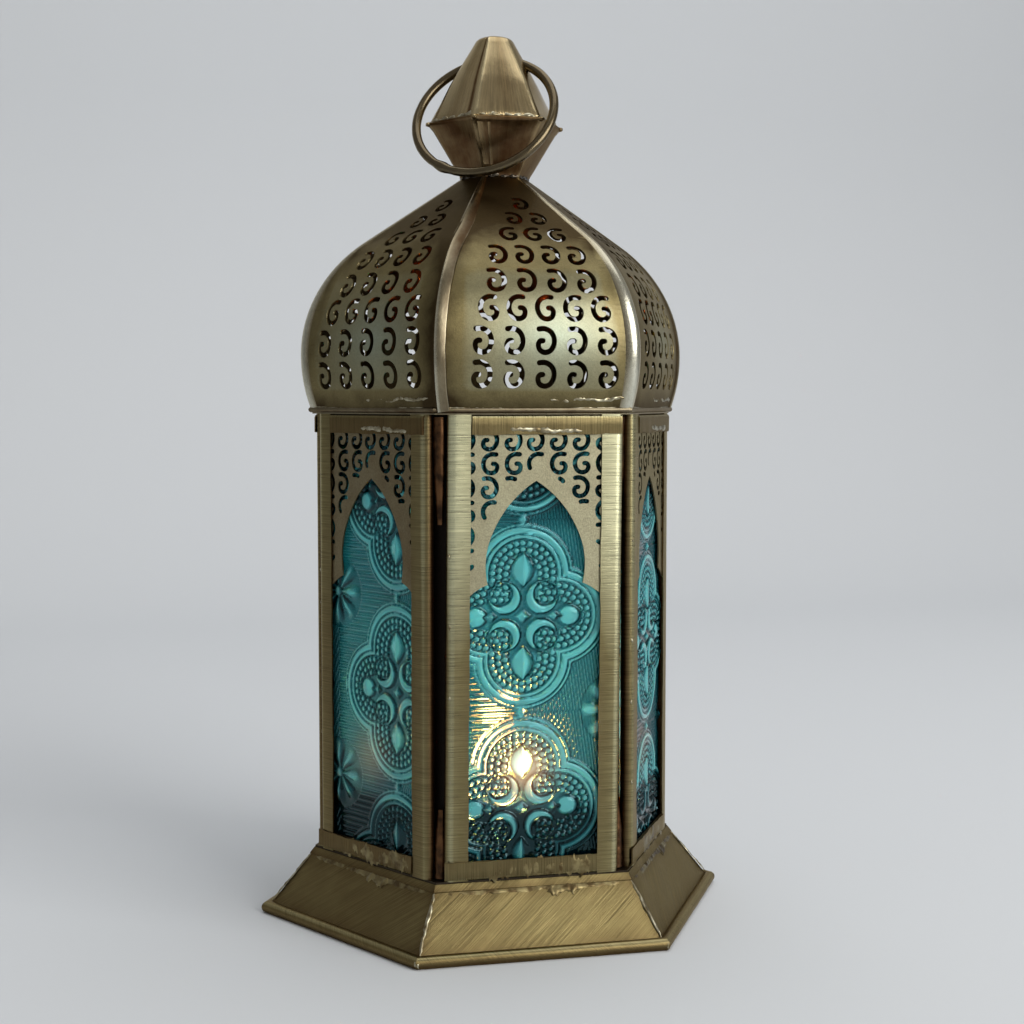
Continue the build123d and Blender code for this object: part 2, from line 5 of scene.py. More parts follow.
import bmesh
import bpy
import numpy as np
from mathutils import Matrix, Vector

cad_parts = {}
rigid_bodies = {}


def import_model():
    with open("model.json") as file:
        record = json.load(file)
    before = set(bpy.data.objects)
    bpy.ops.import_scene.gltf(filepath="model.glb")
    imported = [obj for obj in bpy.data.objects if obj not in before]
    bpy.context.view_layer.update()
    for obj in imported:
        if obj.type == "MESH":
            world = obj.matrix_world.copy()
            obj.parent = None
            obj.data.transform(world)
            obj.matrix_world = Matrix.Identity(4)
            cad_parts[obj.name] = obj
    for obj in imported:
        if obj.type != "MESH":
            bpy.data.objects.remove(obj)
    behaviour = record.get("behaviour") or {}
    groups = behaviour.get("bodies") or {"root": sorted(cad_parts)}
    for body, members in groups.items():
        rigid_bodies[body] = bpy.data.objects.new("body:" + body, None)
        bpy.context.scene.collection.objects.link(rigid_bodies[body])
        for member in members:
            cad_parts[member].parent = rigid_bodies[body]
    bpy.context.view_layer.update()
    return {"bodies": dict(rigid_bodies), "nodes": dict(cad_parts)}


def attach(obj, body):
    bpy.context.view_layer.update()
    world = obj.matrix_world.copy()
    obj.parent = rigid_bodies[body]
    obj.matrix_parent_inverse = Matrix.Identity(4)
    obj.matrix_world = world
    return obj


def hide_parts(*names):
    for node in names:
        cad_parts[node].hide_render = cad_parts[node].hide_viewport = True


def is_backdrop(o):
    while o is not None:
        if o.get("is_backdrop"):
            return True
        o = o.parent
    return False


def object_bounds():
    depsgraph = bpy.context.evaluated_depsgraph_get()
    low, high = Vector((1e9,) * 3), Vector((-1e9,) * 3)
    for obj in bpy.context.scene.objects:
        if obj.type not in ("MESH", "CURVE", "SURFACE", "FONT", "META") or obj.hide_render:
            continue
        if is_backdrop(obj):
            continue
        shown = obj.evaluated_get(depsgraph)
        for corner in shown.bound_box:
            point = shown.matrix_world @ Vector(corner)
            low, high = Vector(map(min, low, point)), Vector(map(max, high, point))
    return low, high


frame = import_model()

# Levels and reaches of the brass work, in millimetres
body = dict(floorTop=22.6, frameTop=171.4, rimTop=172.2, neck=251.5, faceOut=55.8, channelMid=53.55,
    postRadius=2.25, postReach=59.35, faceHalf=28.2, stileInner=21.0, paneHalf=25.85,
    glassIn=52.0, glassOut=54.6, fretSheet=0.5)
faceNames = ["front", "front_right", "back_right", "back", "back_left", "front_left"]
faceTitles = ["front", "front_right", "door", "back", "back_left", "front_left"]
# how much darker each face is made, in the same order: partly browning, partly painted shade on the faces
# turned from the light
faceDarkening = [0.0, 0.12, 0.2, 0.1, 0.25, 0.28]
# the front frame is a little wide to the right and leans that way
frontLean = dict(shift=0.6, widen=0.021, tilt=0.009, level=97)
tan30 = tan(radians(30))
cos30 = cos(radians(30))


def bodyOf(face):
    return "door" if faceTitles[face] == "door" else "lantern"


def doorGap(face):
    return strip["doorGap"] if faceTitles[face] == "door" else 0.0


def leaning(face, u, z):
    if face:
        return u
    return u + (frontLean["shift"] + frontLean["widen"] * u + frontLean["tilt"] * (z - frontLean["level"]))


def onFace(face, u, out, z):
    # a point of a face: u to the right, out from the axis, z up
    turn = radians(60 * face)
    return (u * cos(turn) + out * sin(turn), u * sin(turn) - out * cos(turn), z)


def onCorner(azimuth, reach, side, z):
    turn = radians(azimuth)
    return (reach * cos(turn) - side * sin(turn), reach * sin(turn) + side * cos(turn), z)


def turns(count):
    # the angles of points set evenly round a circle
    return [2 * pi * step / count for step in range(count)]


def wander(seed, waves=5, longest=60.0):
    # a slow random wobble between about -1 and 1 along a length in millimetres
    draw = random.Random(seed)
    terms = []
    for step in range(1, waves + 1):
        rate = 2 * pi * step ** 1.4 / longest * draw.uniform(0.8, 1.2)
        terms.append((rate, draw.uniform(0, 6.28), 1 / step ** 0.6))
    total = sum(term[2] for term in terms)
    return lambda at: 1.6 * sum(size * sin(rate * at + phase) for rate, phase, size in terms) / total


# Shader kit
class Sock:
    # a node's output, with arithmetic that adds Math nodes
    def __init__(self, tree, link):
        self.tree, self.link = tree, link

    def put(self, operation, first, second, clamp=False):
        node = self.tree.nodes.new("ShaderNodeMath")
        node.operation = operation
        node.use_clamp = clamp
        for socket, value in zip(node.inputs, (first, second)):
            if isinstance(value, Sock):
                self.tree.links.new(value.link, socket)
            else:
                socket.default_value = value
        return Sock(self.tree, node.outputs[0])

    def __add__(self, other):
        return self.put("ADD", self, other)

    __radd__ = __add__

    def __sub__(self, other):
        return self.put("SUBTRACT", self, other)

    def __rsub__(self, other):
        return self.put("SUBTRACT", other, self)

    def __mul__(self, other):
        return self.put("MULTIPLY", self, other)

    def __truediv__(self, other):
        return self.put("DIVIDE", self, other)


class Finish:
    # one material; node() adds any node and sets it up
    def __init__(self, name):
        self.material = bpy.data.materials.new(name)
        self.material.use_nodes = True
        self.tree = self.material.node_tree
        self.shader = self.tree.nodes["Principled BSDF"]

    def node(self, kind, settings=None, sockets=None, output=0):
        made = self.tree.nodes.new(kind)
        for name, value in (settings or {}).items():
            if name == "stops":
                while len(made.color_ramp.elements) < len(value):
                    made.color_ramp.elements.new(0.5)
                for element, (position, colour) in zip(made.color_ramp.elements, value):
                    element.position = position
                    element.color = (*colour, 1)
            else:
                setattr(made, name, value)
        self.fill(made, sockets or {})
        return Sock(self.tree, made.outputs[output])

    def fill(self, made, sockets):
        for name, value in sockets.items():
            if isinstance(value, Sock):
                self.tree.links.new(value.link, made.inputs[name])
            else:
                made.inputs[name].default_value = value

    def shade(self, **sockets):
        self.fill(self.shader, {name.replace("_", " "): value for name, value in sockets.items()})
        return self.material

    def attribute(self, name, output=2):
        return self.node("ShaderNodeAttribute", {"attribute_name": name}, output=output)

    def place(self):
        # millimetres across and along the sheet, with each piece's own offset in z
        return self.attribute("sheet", 1)

    def stretch(self, vector, scale, turn=0.0):
        sockets = {"Vector": vector, "Scale": scale, "Rotation": (0, 0, turn)}
        return self.node("ShaderNodeMapping", sockets=sockets)

    def noise(self, vector, scale, detail=3.0, rough=0.55):
        return self.node("ShaderNodeTexNoise", {}, {"Vector": vector, "Scale": scale, "Detail": detail,
                "Roughness": rough})

    def cloud(self, *noise):
        # noise that stays on the piece when it moves
        return self.noise(self.node("ShaderNodeTexCoord", output=3), *noise)

    def spread(self, value, low, high):
        return self.node("ShaderNodeMapRange", {}, {"Value": value, "From Min": low, "From Max": high})

    def ramp(self, factor, stops):
        return self.node("ShaderNodeValToRGB", {"stops": stops}, {"Fac": factor})

    def mix(self, factor, low, high, blend="MIX"):
        low, high = [(*value, 1) if isinstance(value, tuple) else value for value in (low, high)]
        return self.node("ShaderNodeMix", {"data_type": "RGBA", "blend_type": blend},
            {0: factor, 6: low, 7: high}, output=2)

    def bump(self, height, strength, distance):
        sockets = {"Height": height, "Strength": strength, "Distance": distance}
        return self.node("ShaderNodeBump", sockets=sockets)


brassLooks = {
    # tone, worn and lit, dark: colours, the second taken where wear and painted highlights brighten; brush:
    # lines per millimetre along and across; turn of the lines in radians
    "frameBrass": dict(tone=(0.200, 0.168, 0.078), wornAndLit=(0.62, 0.61, 0.39), dark=(0.070, 0.036, 0.015),
        brush=(1.35, 0.03), rough=0.30, lines=0.68, grain=0.10, mottle=0.40, fine=0.65, coat=0.10),
    "domeBrass": dict(tone=(0.215, 0.178, 0.082), wornAndLit=(0.39, 0.46, 0.37), dark=(0.040, 0.027, 0.012),
        brush=(0.6, 0.5), rough=0.36, lines=0.06, grain=0.60, mottle=0.80, coat=0.14),
    "ribBrass": dict(tone=(0.275, 0.240, 0.155), wornAndLit=(0.68, 0.68, 0.58), dark=(0.055, 0.032, 0.015),
        brush=(0.35, 0.9), rough=0.25, lines=0.25, grain=0.12, mottle=0.80, coat=0.30),
    "plinthBrass": dict(tone=(0.215, 0.172, 0.074), wornAndLit=(0.46, 0.41, 0.23), dark=(0.070, 0.038, 0.015),
        turn=0.72, brush=(1.5, 0.02), rough=0.31, lines=0.62, grain=0.12, mottle=0.45, fine=0.75, coat=0.10),
    "fretBrass": dict(tone=(0.39, 0.37, 0.245), wornAndLit=(0.55, 0.52, 0.36), dark=(0.10, 0.060, 0.026),
        brush=(0.5, 0.5), rough=0.38, lines=0.05, grain=0.95, mottle=0.35, coat=0.0),
    "finialBrass": dict(tone=(0.36, 0.275, 0.140), wornAndLit=(0.66, 0.58, 0.36), dark=(0.078, 0.036, 0.013),
        brush=(0.05, 1.4), rough=0.20, lines=0.35, grain=0.06, mottle=0.70, coat=0.35),
    "ringBrass": dict(tone=(0.115, 0.088, 0.046), wornAndLit=(0.34, 0.29, 0.17), dark=(0.040, 0.027, 0.014),
        brush=(0.15, 2.2), rough=0.24, lines=0.35, grain=0.15, mottle=0.55, coat=0.45),
    # dark brass for the floor plate, partly its own patina and partly painted shade for the dim inside, and
    # for the corner sheets, which are painted shade
    "patinaAndShadeBrass": dict(tone=(0.050, 0.040, 0.028), wornAndLit=(0.12, 0.10, 0.06), dark=(0.015, 0.012, 0.010),
        turn=0.4, brush=(0.8, 0.3), rough=0.45, lines=0.3, grain=0.4, mottle=0.6, coat=0.0),
    }
# what all of them share: noises as scale, detail and roughness, and how far each one counts
brassWork = dict(brush=(1.0, 2.0, 0.6), finer=(2, 2.6), brushed=(0.38, 0.62), stain=(26.0, 5.0, 0.6),
    spots=(150.0, 4.0, 0.6), grain=(1900.0, 2.0, 0.7), clouds=(0.62, 0.38), clouded=(0.40, 0.62),
    mottle=0.5, lines=0.8, darkRough=0.12, lineRough=0.10, spotRough=0.12,
    lineHeight=0.5, spotHeight=0.7, stainHeight=2.0, bump=(0.4, 0.00018),
    coatLost=0.8, coatRough=0.14, tint=(0.88, 0.78, 0.62, 1))


def brass(name):
    look, work = {"turn": 0.0, "fine": 0.5} | brassLooks[name], brassWork
    finish = Finish(name)
    patina = finish.attribute("patina")
    along, across = look["brush"]
    turned = finish.stretch(finish.place(), (1, 1, 1), look["turn"])
    coarse = finish.noise(finish.stretch(turned, (across, along, 1.0)), *work["brush"])
    finer = (across * work["finer"][0], along * work["finer"][1], 1.0)
    fine = finish.noise(finish.stretch(turned, finer), *work["brush"])
    brushed = finish.spread(coarse * (1 - look["fine"]) + fine * look["fine"], *work["brushed"])
    stain, spots, grain = [finish.cloud(*work[kind]) for kind in ("stain", "spots", "grain")]
    clouds = finish.spread(stain * work["clouds"][0] + spots * work["clouds"][1], *work["clouded"])
    darkness = patina.put("ADD", patina, (1 - clouds) * (work["mottle"] * look["mottle"]), clamp=True)
    # negative values brighten towards the worn and lit colour, for wear and for painted highlights alike
    polishAndHighlight = patina.put("MULTIPLY", patina, -1.0, clamp=True)
    colour = finish.mix(polishAndHighlight, finish.mix(darkness, look["tone"], look["dark"]), look["wornAndLit"])
    lit = (brushed - 0.5) * (work["lines"] * look["lines"]) + 1.0 + (grain - 0.5) * look["grain"]
    grey = finish.node("ShaderNodeCombineColor", {}, {"Red": lit, "Green": lit, "Blue": lit})
    rough = (look["rough"] + darkness * work["darkRough"]
        + (brushed - 0.5) * (work["lineRough"] * look["lines"]) + (spots - 0.5) * work["spotRough"])
    height = (brushed * (work["lineHeight"] * look["lines"]) + grain * look["grain"]
        + spots * work["spotHeight"] + stain * work["stainHeight"])
    return finish.shade(Base_Color=finish.mix(1.0, colour, grey, "MULTIPLY"), Metallic=1.0, Roughness=rough,
        Coat_Weight=(1 - darkness * work["coatLost"]) * look["coat"],
        Coat_Roughness=work["coatRough"], Specular_Tint=work["tint"],
        Normal=finish.bump(height, *work["bump"]))


solderLooks = {
    # tone, dark, roughness
    "brightSolder": ((0.46, 0.43, 0.31), (0.16, 0.125, 0.065), 0.20),
    "brassSolder": ((0.26, 0.215, 0.105), (0.10, 0.070, 0.032), 0.26),
    "brownSolder": ((0.14, 0.070, 0.032), (0.035, 0.020, 0.012), 0.24),
    "wetSolder": ((0.10, 0.085, 0.065), (0.016, 0.012, 0.009), 0.10),
    }


def solder(name):
    tone, dark, rough = solderLooks[name]
    finish = Finish(name)
    lumps, pits = finish.cloud(300.0, 3.0, 0.5), finish.cloud(1200.0, 3.0, 0.6)
    share = finish.ramp(lumps, [(0.38, (0, 0, 0)), (0.62, (1, 1, 1))])
    return finish.shade(Base_Color=finish.mix(share, dark, tone), Metallic=1.0,
        Roughness=rough + pits * 0.25, Normal=finish.bump(lumps + pits * 0.3, 0.5, 0.0002))


glassLook = dict(
    tones=[(0.05, (0.0004, 0.010, 0.015)), (0.30, (0.022, 0.22, 0.27)), (0.53, (0.27, 0.97, 1.0))],
    paintedGlow=[(0.0, (0, 0, 0)), (0.3, (0.12, 0.035, 0.008)), (0.6, (0.55, 0.27, 0.11)),
        (0.9, (1.0, 0.80, 0.58))],
    rough=0.03, transmission=0.69, ior=1.5, tint=(0.45, 0.85, 0.92, 1))


def pressedGlass(name):
    finish = Finish(name)
    streak, seeds = finish.cloud(38.0, 3.0), finish.cloud(700.0, 2.0)
    # the relief attribute gives how clear the glass is, painted light and shade included
    share = finish.attribute("relief") + (streak - 0.5) * 0.18
    # the emission is a painted glow of the candle on the pane
    return finish.shade(Base_Color=finish.ramp(share, glassLook["tones"]), IOR=glassLook["ior"],
        Roughness=glassLook["rough"] + (streak - 0.4) * 0.05,
        Transmission_Weight=glassLook["transmission"], Specular_Tint=glassLook["tint"],
        Emission_Color=finish.ramp(finish.attribute("patina"), glassLook["paintedGlow"]),
        Emission_Strength=1.0, Normal=finish.bump(seeds, 0.15, 0.0002))


plainLooks = {
    # tone, other tone, scale of its clouds, roughness, metallic, depth of its bumps, other sockets
    "pinSteel": ((0.42, 0.40, 0.37), (0.20, 0.17, 0.14), 300.0, 0.35, 1.0, 0.0001, {}),
    # the foil is made dark: partly the cup's own colour, partly painted shade for the dim inside of the
    # lantern
    "cupFoil": ((0.20, 0.195, 0.19), (0.07, 0.066, 0.06), 240.0, 0.36, 1.0, 0.0001, {}),
    "candleWax": ((0.93, 0.89, 0.80), (0.86, 0.80, 0.68), 120.0, 0.42, 0.0, 0.0003,
        {"Subsurface_Weight": 0.3}),
    "charredWick": ((0.10, 0.08, 0.07), (0.02, 0.018, 0.016), 900.0, 0.9, 0.0, 0.0004, {}),
    }


def plainFinish(name):
    tone, other, scale, rough, metallic, depth, extra = plainLooks[name]
    finish = Finish(name)
    cloud = finish.cloud(scale, 4.0, 0.6)
    return finish.shade(Base_Color=finish.mix(cloud, other, tone), Metallic=metallic,
        Roughness=rough + (cloud - 0.5) * 0.2, Normal=finish.bump(cloud, 0.4, depth), **extra)


flameLooks = {
    # colours at the foot, the middle and the tip, strength, alpha
    "flameCore": ((0.30, 0.16, 0.2), (1.0, 0.19, 0.06), (1.0, 0.15, 0.03), 150.0, 1.0),
    "flameMantle": ((0.6, 0.10, 0.02), (1.0, 0.075, 0.004), (1.0, 0.06, 0.003), 11.0, 0.35),
    }


def flame(name):
    foot, middle, tip, strength, alpha = flameLooks[name]
    finish = Finish(name)
    height = finish.node("ShaderNodeSeparateXYZ", {}, {"Vector": finish.place()}, output=1)
    colour = finish.ramp(height / 24.0, [(0.0, foot), (0.16, middle), (0.55, middle), (1.0, tip)])
    return finish.shade(Base_Color=(1.0, 0.7, 0.3, 1), Emission_Color=colour, Emission_Strength=strength,
        Roughness=0.6, Alpha=alpha)


finishes = {}
for make, names in ((brass, brassLooks), (solder, solderLooks), (pressedGlass, ["pressedGlass"]),
        (plainFinish, plainLooks), (flame, flameLooks)):
    finishes.update({name: make(name) for name in names})
print("finishes made:", len(finishes))


# Mesh kit
class Shape:
    # points in millimetres, each with its place on the sheet and its patina and painted light
    def __init__(self, seed=0.0):
        self.points, self.faces, self.places, self.patina, self.seed = [], [], [], [], seed

    def add(self, points, faces, places=None, patina=0.0):
        base = len(self.points)
        self.points += [tuple(point) for point in points]
        self.faces += [tuple(base + at for at in face) for face in faces]
        self.places += [(*place[:2], self.seed) for place in (places or [(0, 0)] * len(points))]
        self.patina += list(patina) if hasattr(patina, "__len__") else [patina] * len(points)

    def loft(self, rings, patina=None, closedPath=False, capped=True):
        # skin over closed rings of points; the patina and painted light is one value, or a list for the
        # points of each ring
        count, points, places, shades, along = len(rings[0]), [], [], [], 0.0
        for index, ring in enumerate(rings):
            if index:
                along += dist(ring[0], rings[index - 1][0])
            across = 0.0
            for at, point in enumerate(ring):
                if at:
                    across += dist(point, ring[at - 1])
                points.append(point)
                places.append((across, along))
                shades.append(patina[at] if isinstance(patina, list) else patina or 0.0)
        faces = []
        for index in range(len(rings) if closedPath else len(rings) - 1):
            low, high = index * count, (index + 1) % len(rings) * count
            for at in range(count):
                beside = (at + 1) % count
                faces.append((low + at, low + beside, high + beside, high + at))
        if capped and not closedPath:
            faces.append(tuple(reversed(range(count))))
            faces.append(tuple((len(rings) - 1) * count + at for at in range(count)))
        self.add(points, faces, places, shades)

    def piece(self, name, finish, rides, slot=None, stands=(), sharp=35.0, relief=None, mend=True,
            bent=None):
        mesh = bpy.data.meshes.new(name)
        mesh.from_pydata([(x / 1000, y / 1000, z / 1000) for x, y, z in self.points], [], self.faces)
        sheet = mesh.attributes.new("sheet", "FLOAT_VECTOR", "POINT")
        sheet.data.foreach_set("vector", np.array(self.places, np.float32).ravel())
        for kind, values in (("patina", self.patina), ("relief", relief)):
            if values is not None:
                layer = mesh.attributes.new(kind, "FLOAT", "POINT")
                layer.data.foreach_set("value", np.array(values, np.float32))
        if mend:
            work = bmesh.new()
            work.from_mesh(mesh)
            bmesh.ops.recalc_face_normals(work, faces=work.faces)
            work.to_mesh(mesh)
            work.free()
        mesh.shade_smooth()
        mesh.set_sharp_from_angle(angle=radians(sharp))
        if bent:
            # directions for the two skins of a bent sheet; its cut edges keep their own
            count, skin = bent["faces"], bent["normals"]
            directions = []
            for polygon in mesh.polygons:
                for vertex in polygon.vertices:
                    if polygon.index < count:
                        directions.append(skin[vertex])
                    elif polygon.index < 2 * count:
                        directions.append(tuple(-part for part in skin[vertex - len(skin)]))
                    else:
                        directions.append((0.0, 0.0, 0.0))
            mesh.normals_split_custom_set(directions)
        mesh.materials.append(finishes[finish])
        made = bpy.data.objects.new(name, mesh)
        bpy.context.scene.collection.objects.link(made)
        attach(made, rides)
        if stands:
            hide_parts(*stands)
        return made

    def solder(self, name, finish, rides="lantern"):
        self.piece(name, finish, rides, "solder", sharp=60)


def arcThrough(first, middle, last, steps):
    # points on the circle through three points of a plane
    (ax, ay), (bx, by), (cx, cy) = first, middle, last
    aa, bb, cc = ax**2 + ay**2, bx**2 + by**2, cx**2 + cy**2
    size = 2 * (ax * (by - cy) + bx * (cy - ay) + cx * (ay - by))
    ux = (aa * (by - cy) + bb * (cy - ay) + cc * (ay - by)) / size
    uy = (aa * (cx - bx) + bb * (ax - cx) + cc * (bx - ax)) / size
    radius = hypot(ax - ux, ay - uy)
    start = atan2(ay - uy, ax - ux)
    turn = lambda point: (atan2(point[1] - uy, point[0] - ux) - start) % (2 * pi)
    sweep = turn(last)
    if turn(middle) > sweep:
        sweep -= 2 * pi
    angles = [start + sweep * step / steps for step in range(steps + 1)]
    return [(ux + radius * cos(angle), uy + radius * sin(angle)) for angle in angles]


def smoothLine(points, steps):
    # Catmull-Rom curve through the points
    before = tuple(2 * a - b for a, b in zip(points[0], points[1]))
    after = tuple(2 * a - b for a, b in zip(points[-1], points[-2]))
    path, line = [before, *points, after], []
    for at in range(1, len(path) - 2):
        for step in range(steps):
            t = step / steps
            line.append(tuple(0.5 * (2 * b + (c - a) * t + (2 * a - 5 * b + 4 * c - d) * t**2
                        + (3 * b - a - 3 * c + d) * t**3)
                    for a, b, c, d in zip(*path[at - 1:at + 3])))
    return line + [tuple(points[-1])]


def slotLoop(line, half, ends=6):
    # outline of a slot of even width with round ends
    line = np.array(line)
    ahead = np.gradient(line, axis=0)
    ahead /= np.linalg.norm(ahead, axis=1)[:, None]
    side = np.stack([-ahead[:, 1], ahead[:, 0]], 1)
    clear = lambda point: np.linalg.norm(line - point, axis=1).min() > half * 0.97
    left = [tuple(point) for point in line + side * half if clear(point)]
    right = [tuple(point) for point in line - side * half if clear(point)]
    turn = lambda at, way, sign: [
        tuple(line[at] + half * (way * cos(angle) * side[at] + sign * sin(angle) * ahead[at]))
        for angle in [pi * (step + 1) / (ends + 1) for step in range(ends)]]
    return left + turn(-1, 1, 1) + right[::-1] + turn(0, -1, -1)


scrollLine = smoothLine([(-2.35, 3.62), (-0.4, 3.7), (1.5, 2.7), (2.5, 0.8), (2.4, -1.3), (1.3, -3.1),
        (-0.5, -3.7), (-2.15, -3.0), (-2.72, -1.4), (-2.15, -0.2), (-1.15, -0.05)], 4)


def scroll(centre, width, height, mirrored):
    flip = -1 if mirrored else 1
    return [(centre[0] + flip * x * width, centre[1] + y * height) for x, y in scrollLine]


def cutFlat(outline, holes, levels=(), columns=()):
    # flat sheet with holes, cut across at each level and column so that it can be bent
    curve = bpy.data.curves.new("cutFlat", "CURVE")
    curve.dimensions = "2D"
    curve.fill_mode = "FRONT"
    for loop in [outline] + holes:
        spline = curve.splines.new("POLY")
        spline.points.add(len(loop) - 1)
        for point, (x, y) in zip(spline.points, loop):
            point.co = (x, y, 0, 1)
        spline.use_cyclic_u = True
    holder = bpy.data.objects.new("cutFlat", curve)
    bpy.context.scene.collection.objects.link(holder)
    bpy.context.view_layer.update()
    mesh = bpy.data.meshes.new_from_object(holder.evaluated_get(bpy.context.evaluated_depsgraph_get()))
    work = bmesh.new()
    work.from_mesh(mesh)
    bmesh.ops.remove_doubles(work, verts=work.verts, dist=1e-4)
    cuts = [((0, level, 0), (0, 1, 0)) for level in levels]
    for place, normal in cuts + [((column, 0, 0), (1, 0, 0)) for column in columns]:
        bmesh.ops.bisect_plane(work, geom=work.verts[:] + work.edges[:] + work.faces[:], dist=1e-5,
            plane_co=place, plane_no=normal)
    work.verts.index_update()
    flat = [(vert.co.x, vert.co.y) for vert in work.verts]
    work.normal_update()
    faces = [tuple(vert.index for vert in (face.verts if face.normal.z > 0 else reversed(face.verts)))
        for face in work.faces]
    work.free()
    bpy.data.objects.remove(holder)
    bpy.data.curves.remove(curve)
    bpy.data.meshes.remove(mesh)
    return flat, faces


def thicken(faces, count):
    # faces of a closed sheet whose inner points follow its count of outer points
    edges = dict.fromkeys((a, b) for face in faces for a, b in zip(face, face[1:] + face[:1]))
    walls = [(b, a, count + a, count + b) for a, b in edges if (b, a) not in edges]
    return list(faces) + [tuple(count + at for at in reversed(face)) for face in faces] + walls


# how a bead of solder wanders in width, height and line, tapers at its ends and sits in the sheet
ragged = dict(width=0.45, height=0.5, sway=0.25, taper=3, tip=0.05, thinnest=0.12, sunk=0.12,
    sides=6)


def solderRun(shape, path, bead, index, lift, broken=0.0):
    # a ragged half-round bead along a path of points, on the side that lift points to
    width, height, seed = bead
    rough, tall, rings = wander(seed + index, 7, 14.0), wander(seed + index + 1, 7, 9.0), []
    along, last, tip = 0.0, len(path) - 1, ragged["tip"]
    for at, point in enumerate(path):
        here, before = Vector(point), Vector(path[max(at - 1, 0)])
        ahead = (Vector(path[min(at + 1, last)]) - before).normalized()
        along += (here - before).length
        up = Vector(lift) - ahead * ahead.dot(Vector(lift))
        up.normalize()
        side = ahead.cross(up)
        fade = min(1.0, at / ragged["taper"] + tip, (last - at) / ragged["taper"] + tip)
        gap = max(ragged["thinnest"], min(1.0, 1 + broken * (tall(along * 0.4) - 0.5)))
        wide = width / 2 * (1 + ragged["width"] * rough(along)) * fade
        high = height * (1 + ragged["height"] * tall(along)) * fade * gap
        middle = here + side * (ragged["sway"] * width * rough(along * 0.6 + 30))
        rings.append([tuple(middle + side * (wide * cos(turn)) + up * (high * sin(turn) - ragged["sunk"]))
                for turn in [pi * step / ragged["sides"] for step in range(ragged["sides"] + 1)]])
    shape.loft(rings)


def solderLine(shape, first, last, step, *how):
    # a straight bead from one point to another
    count = max(2, int(dist(first, last) / step))
    path = [tuple(a + (b - a) * at / count for a, b in zip(first, last)) for at in range(count + 1)]
    solderRun(shape, path, *how)


def rolledEdge(shape, face, roll, wave=lambda at: 0.0):
    # a round edge along one face, mitred at both corners and flat where it would go under the table
    rings = []
    for across in range(roll["stations"] + 1):
        share, ring = across / roll["stations"] * 2 - 1, []
        radius = roll["radius"] * (1 + roll["wave"] * wave(share * 40))
        for turn in turns(len(roll["patina"])):
            out = roll["out"] + radius * cos(turn)
            ring.append(onFace(face, share * out * tan30, out, max(0.0, roll["z"] + radius * sin(turn))))
        rings.append(ring)
    shape.loft(rings, roll["patina"])


# Plinth
plinth = dict(top=21.8, topOut=55.2, foot=1.85, footOut=69.3, sheet=0.8, band=2.6, bandLift=0.28,
    crease=0.005, stations=40, dent=0.12,
    # how dark the sheet is: the face's darkening, the band, its crease, the foot, the side edges, the inside
    stain=0.6, bandDark=0.1, creaseDark=0.25, footDark=0.5, edgeDark=0.3, inside=0.8)
# round the bead from outwards over the top to underneath: a painted highlight on its upper outer side,
# painted shade in the crease by the sheet and underneath
plinthBead = dict(out=plinth["footOut"], z=plinth["foot"], radius=2.1, stations=40, wave=0.015,
    patina=[0.3, 0.3, -0.25, -0.25, 0.3, 0.3] + [0.75] * 4 + [0.3, 0.3] + [0.6] * 6)
# width, height, first seed
plinthSolder = dict(seam=(1.1, 0.40, 40), tip=(1.6, 0.35, 60), line=(1.7, 0.22, 80), patch=(3.2, 0.30, 100))


def plinthSheet(face):
    shape, wave = Shape(face * 37.0), wander(face + 11, 4, 90.0)
    rise, run = plinth["top"] - plinth["foot"], plinth["footOut"] - plinth["topOut"]
    slope = hypot(rise, run)
    nOut, nUp, band = rise / slope, run / slope, plinth["band"] / slope
    rows = [0.0, 0.03, band - plinth["crease"], band + plinth["crease"], 0.3, 0.5, 0.7, 0.88, 1.0]
    outer, inner, places, shade = [], [], [], []
    for row in rows:
        out, z = plinth["topOut"] + run * row, plinth["top"] - rise * row
        inside = out - plinth["sheet"] * nOut
        lift, dark = (plinth["bandLift"], plinth["bandDark"]) if row < band else (0.0, 0.0)
        for across in range(plinth["stations"] + 1):
            share = across / plinth["stations"] * 2 - 1
            dent = plinth["dent"] * wave(share * 40 + row * 25) * min(1, 4 * (1 - abs(share))) + lift
            reach = out + dent * nOut
            u = share * reach * tan30
            outer.append(onFace(face, u, reach, z + dent * nUp))
            inner.append(onFace(face, share * inside * tan30, inside, z - plinth["sheet"] * nUp))
            places.append((u, row * slope))
            edge = abs(u) / (reach * tan30)
            shade.append(faceDarkening[face] * plinth["stain"] + dark
                + plinth["footDark"] * max(0, row - 0.8) / 0.2
                + plinth["edgeDark"] * max(0, edge - 0.93) / 0.07
                + (plinth["creaseDark"] if 0.1 < row < 0.15 else 0))
    wide = plinth["stations"] + 1
    faces = [(row * wide + at, row * wide + at + 1, (row + 1) * wide + at + 1, (row + 1) * wide + at)
        for row in range(len(rows) - 1) for at in range(plinth["stations"])]
    shape.add(outer + inner, thicken(faces, len(outer)), places * 2, shade + [plinth["inside"]] * len(inner))
    return shape


for face, name in enumerate(faceNames):
    panel = plinthSheet(face)
    rolledEdge(panel, face, plinthBead, wander(face + 31, 4, 70.0))
    panel.piece("plinth_panel_" + name, "plinthBrass", "lantern", "plinth_brass", ["plinth_" + name])


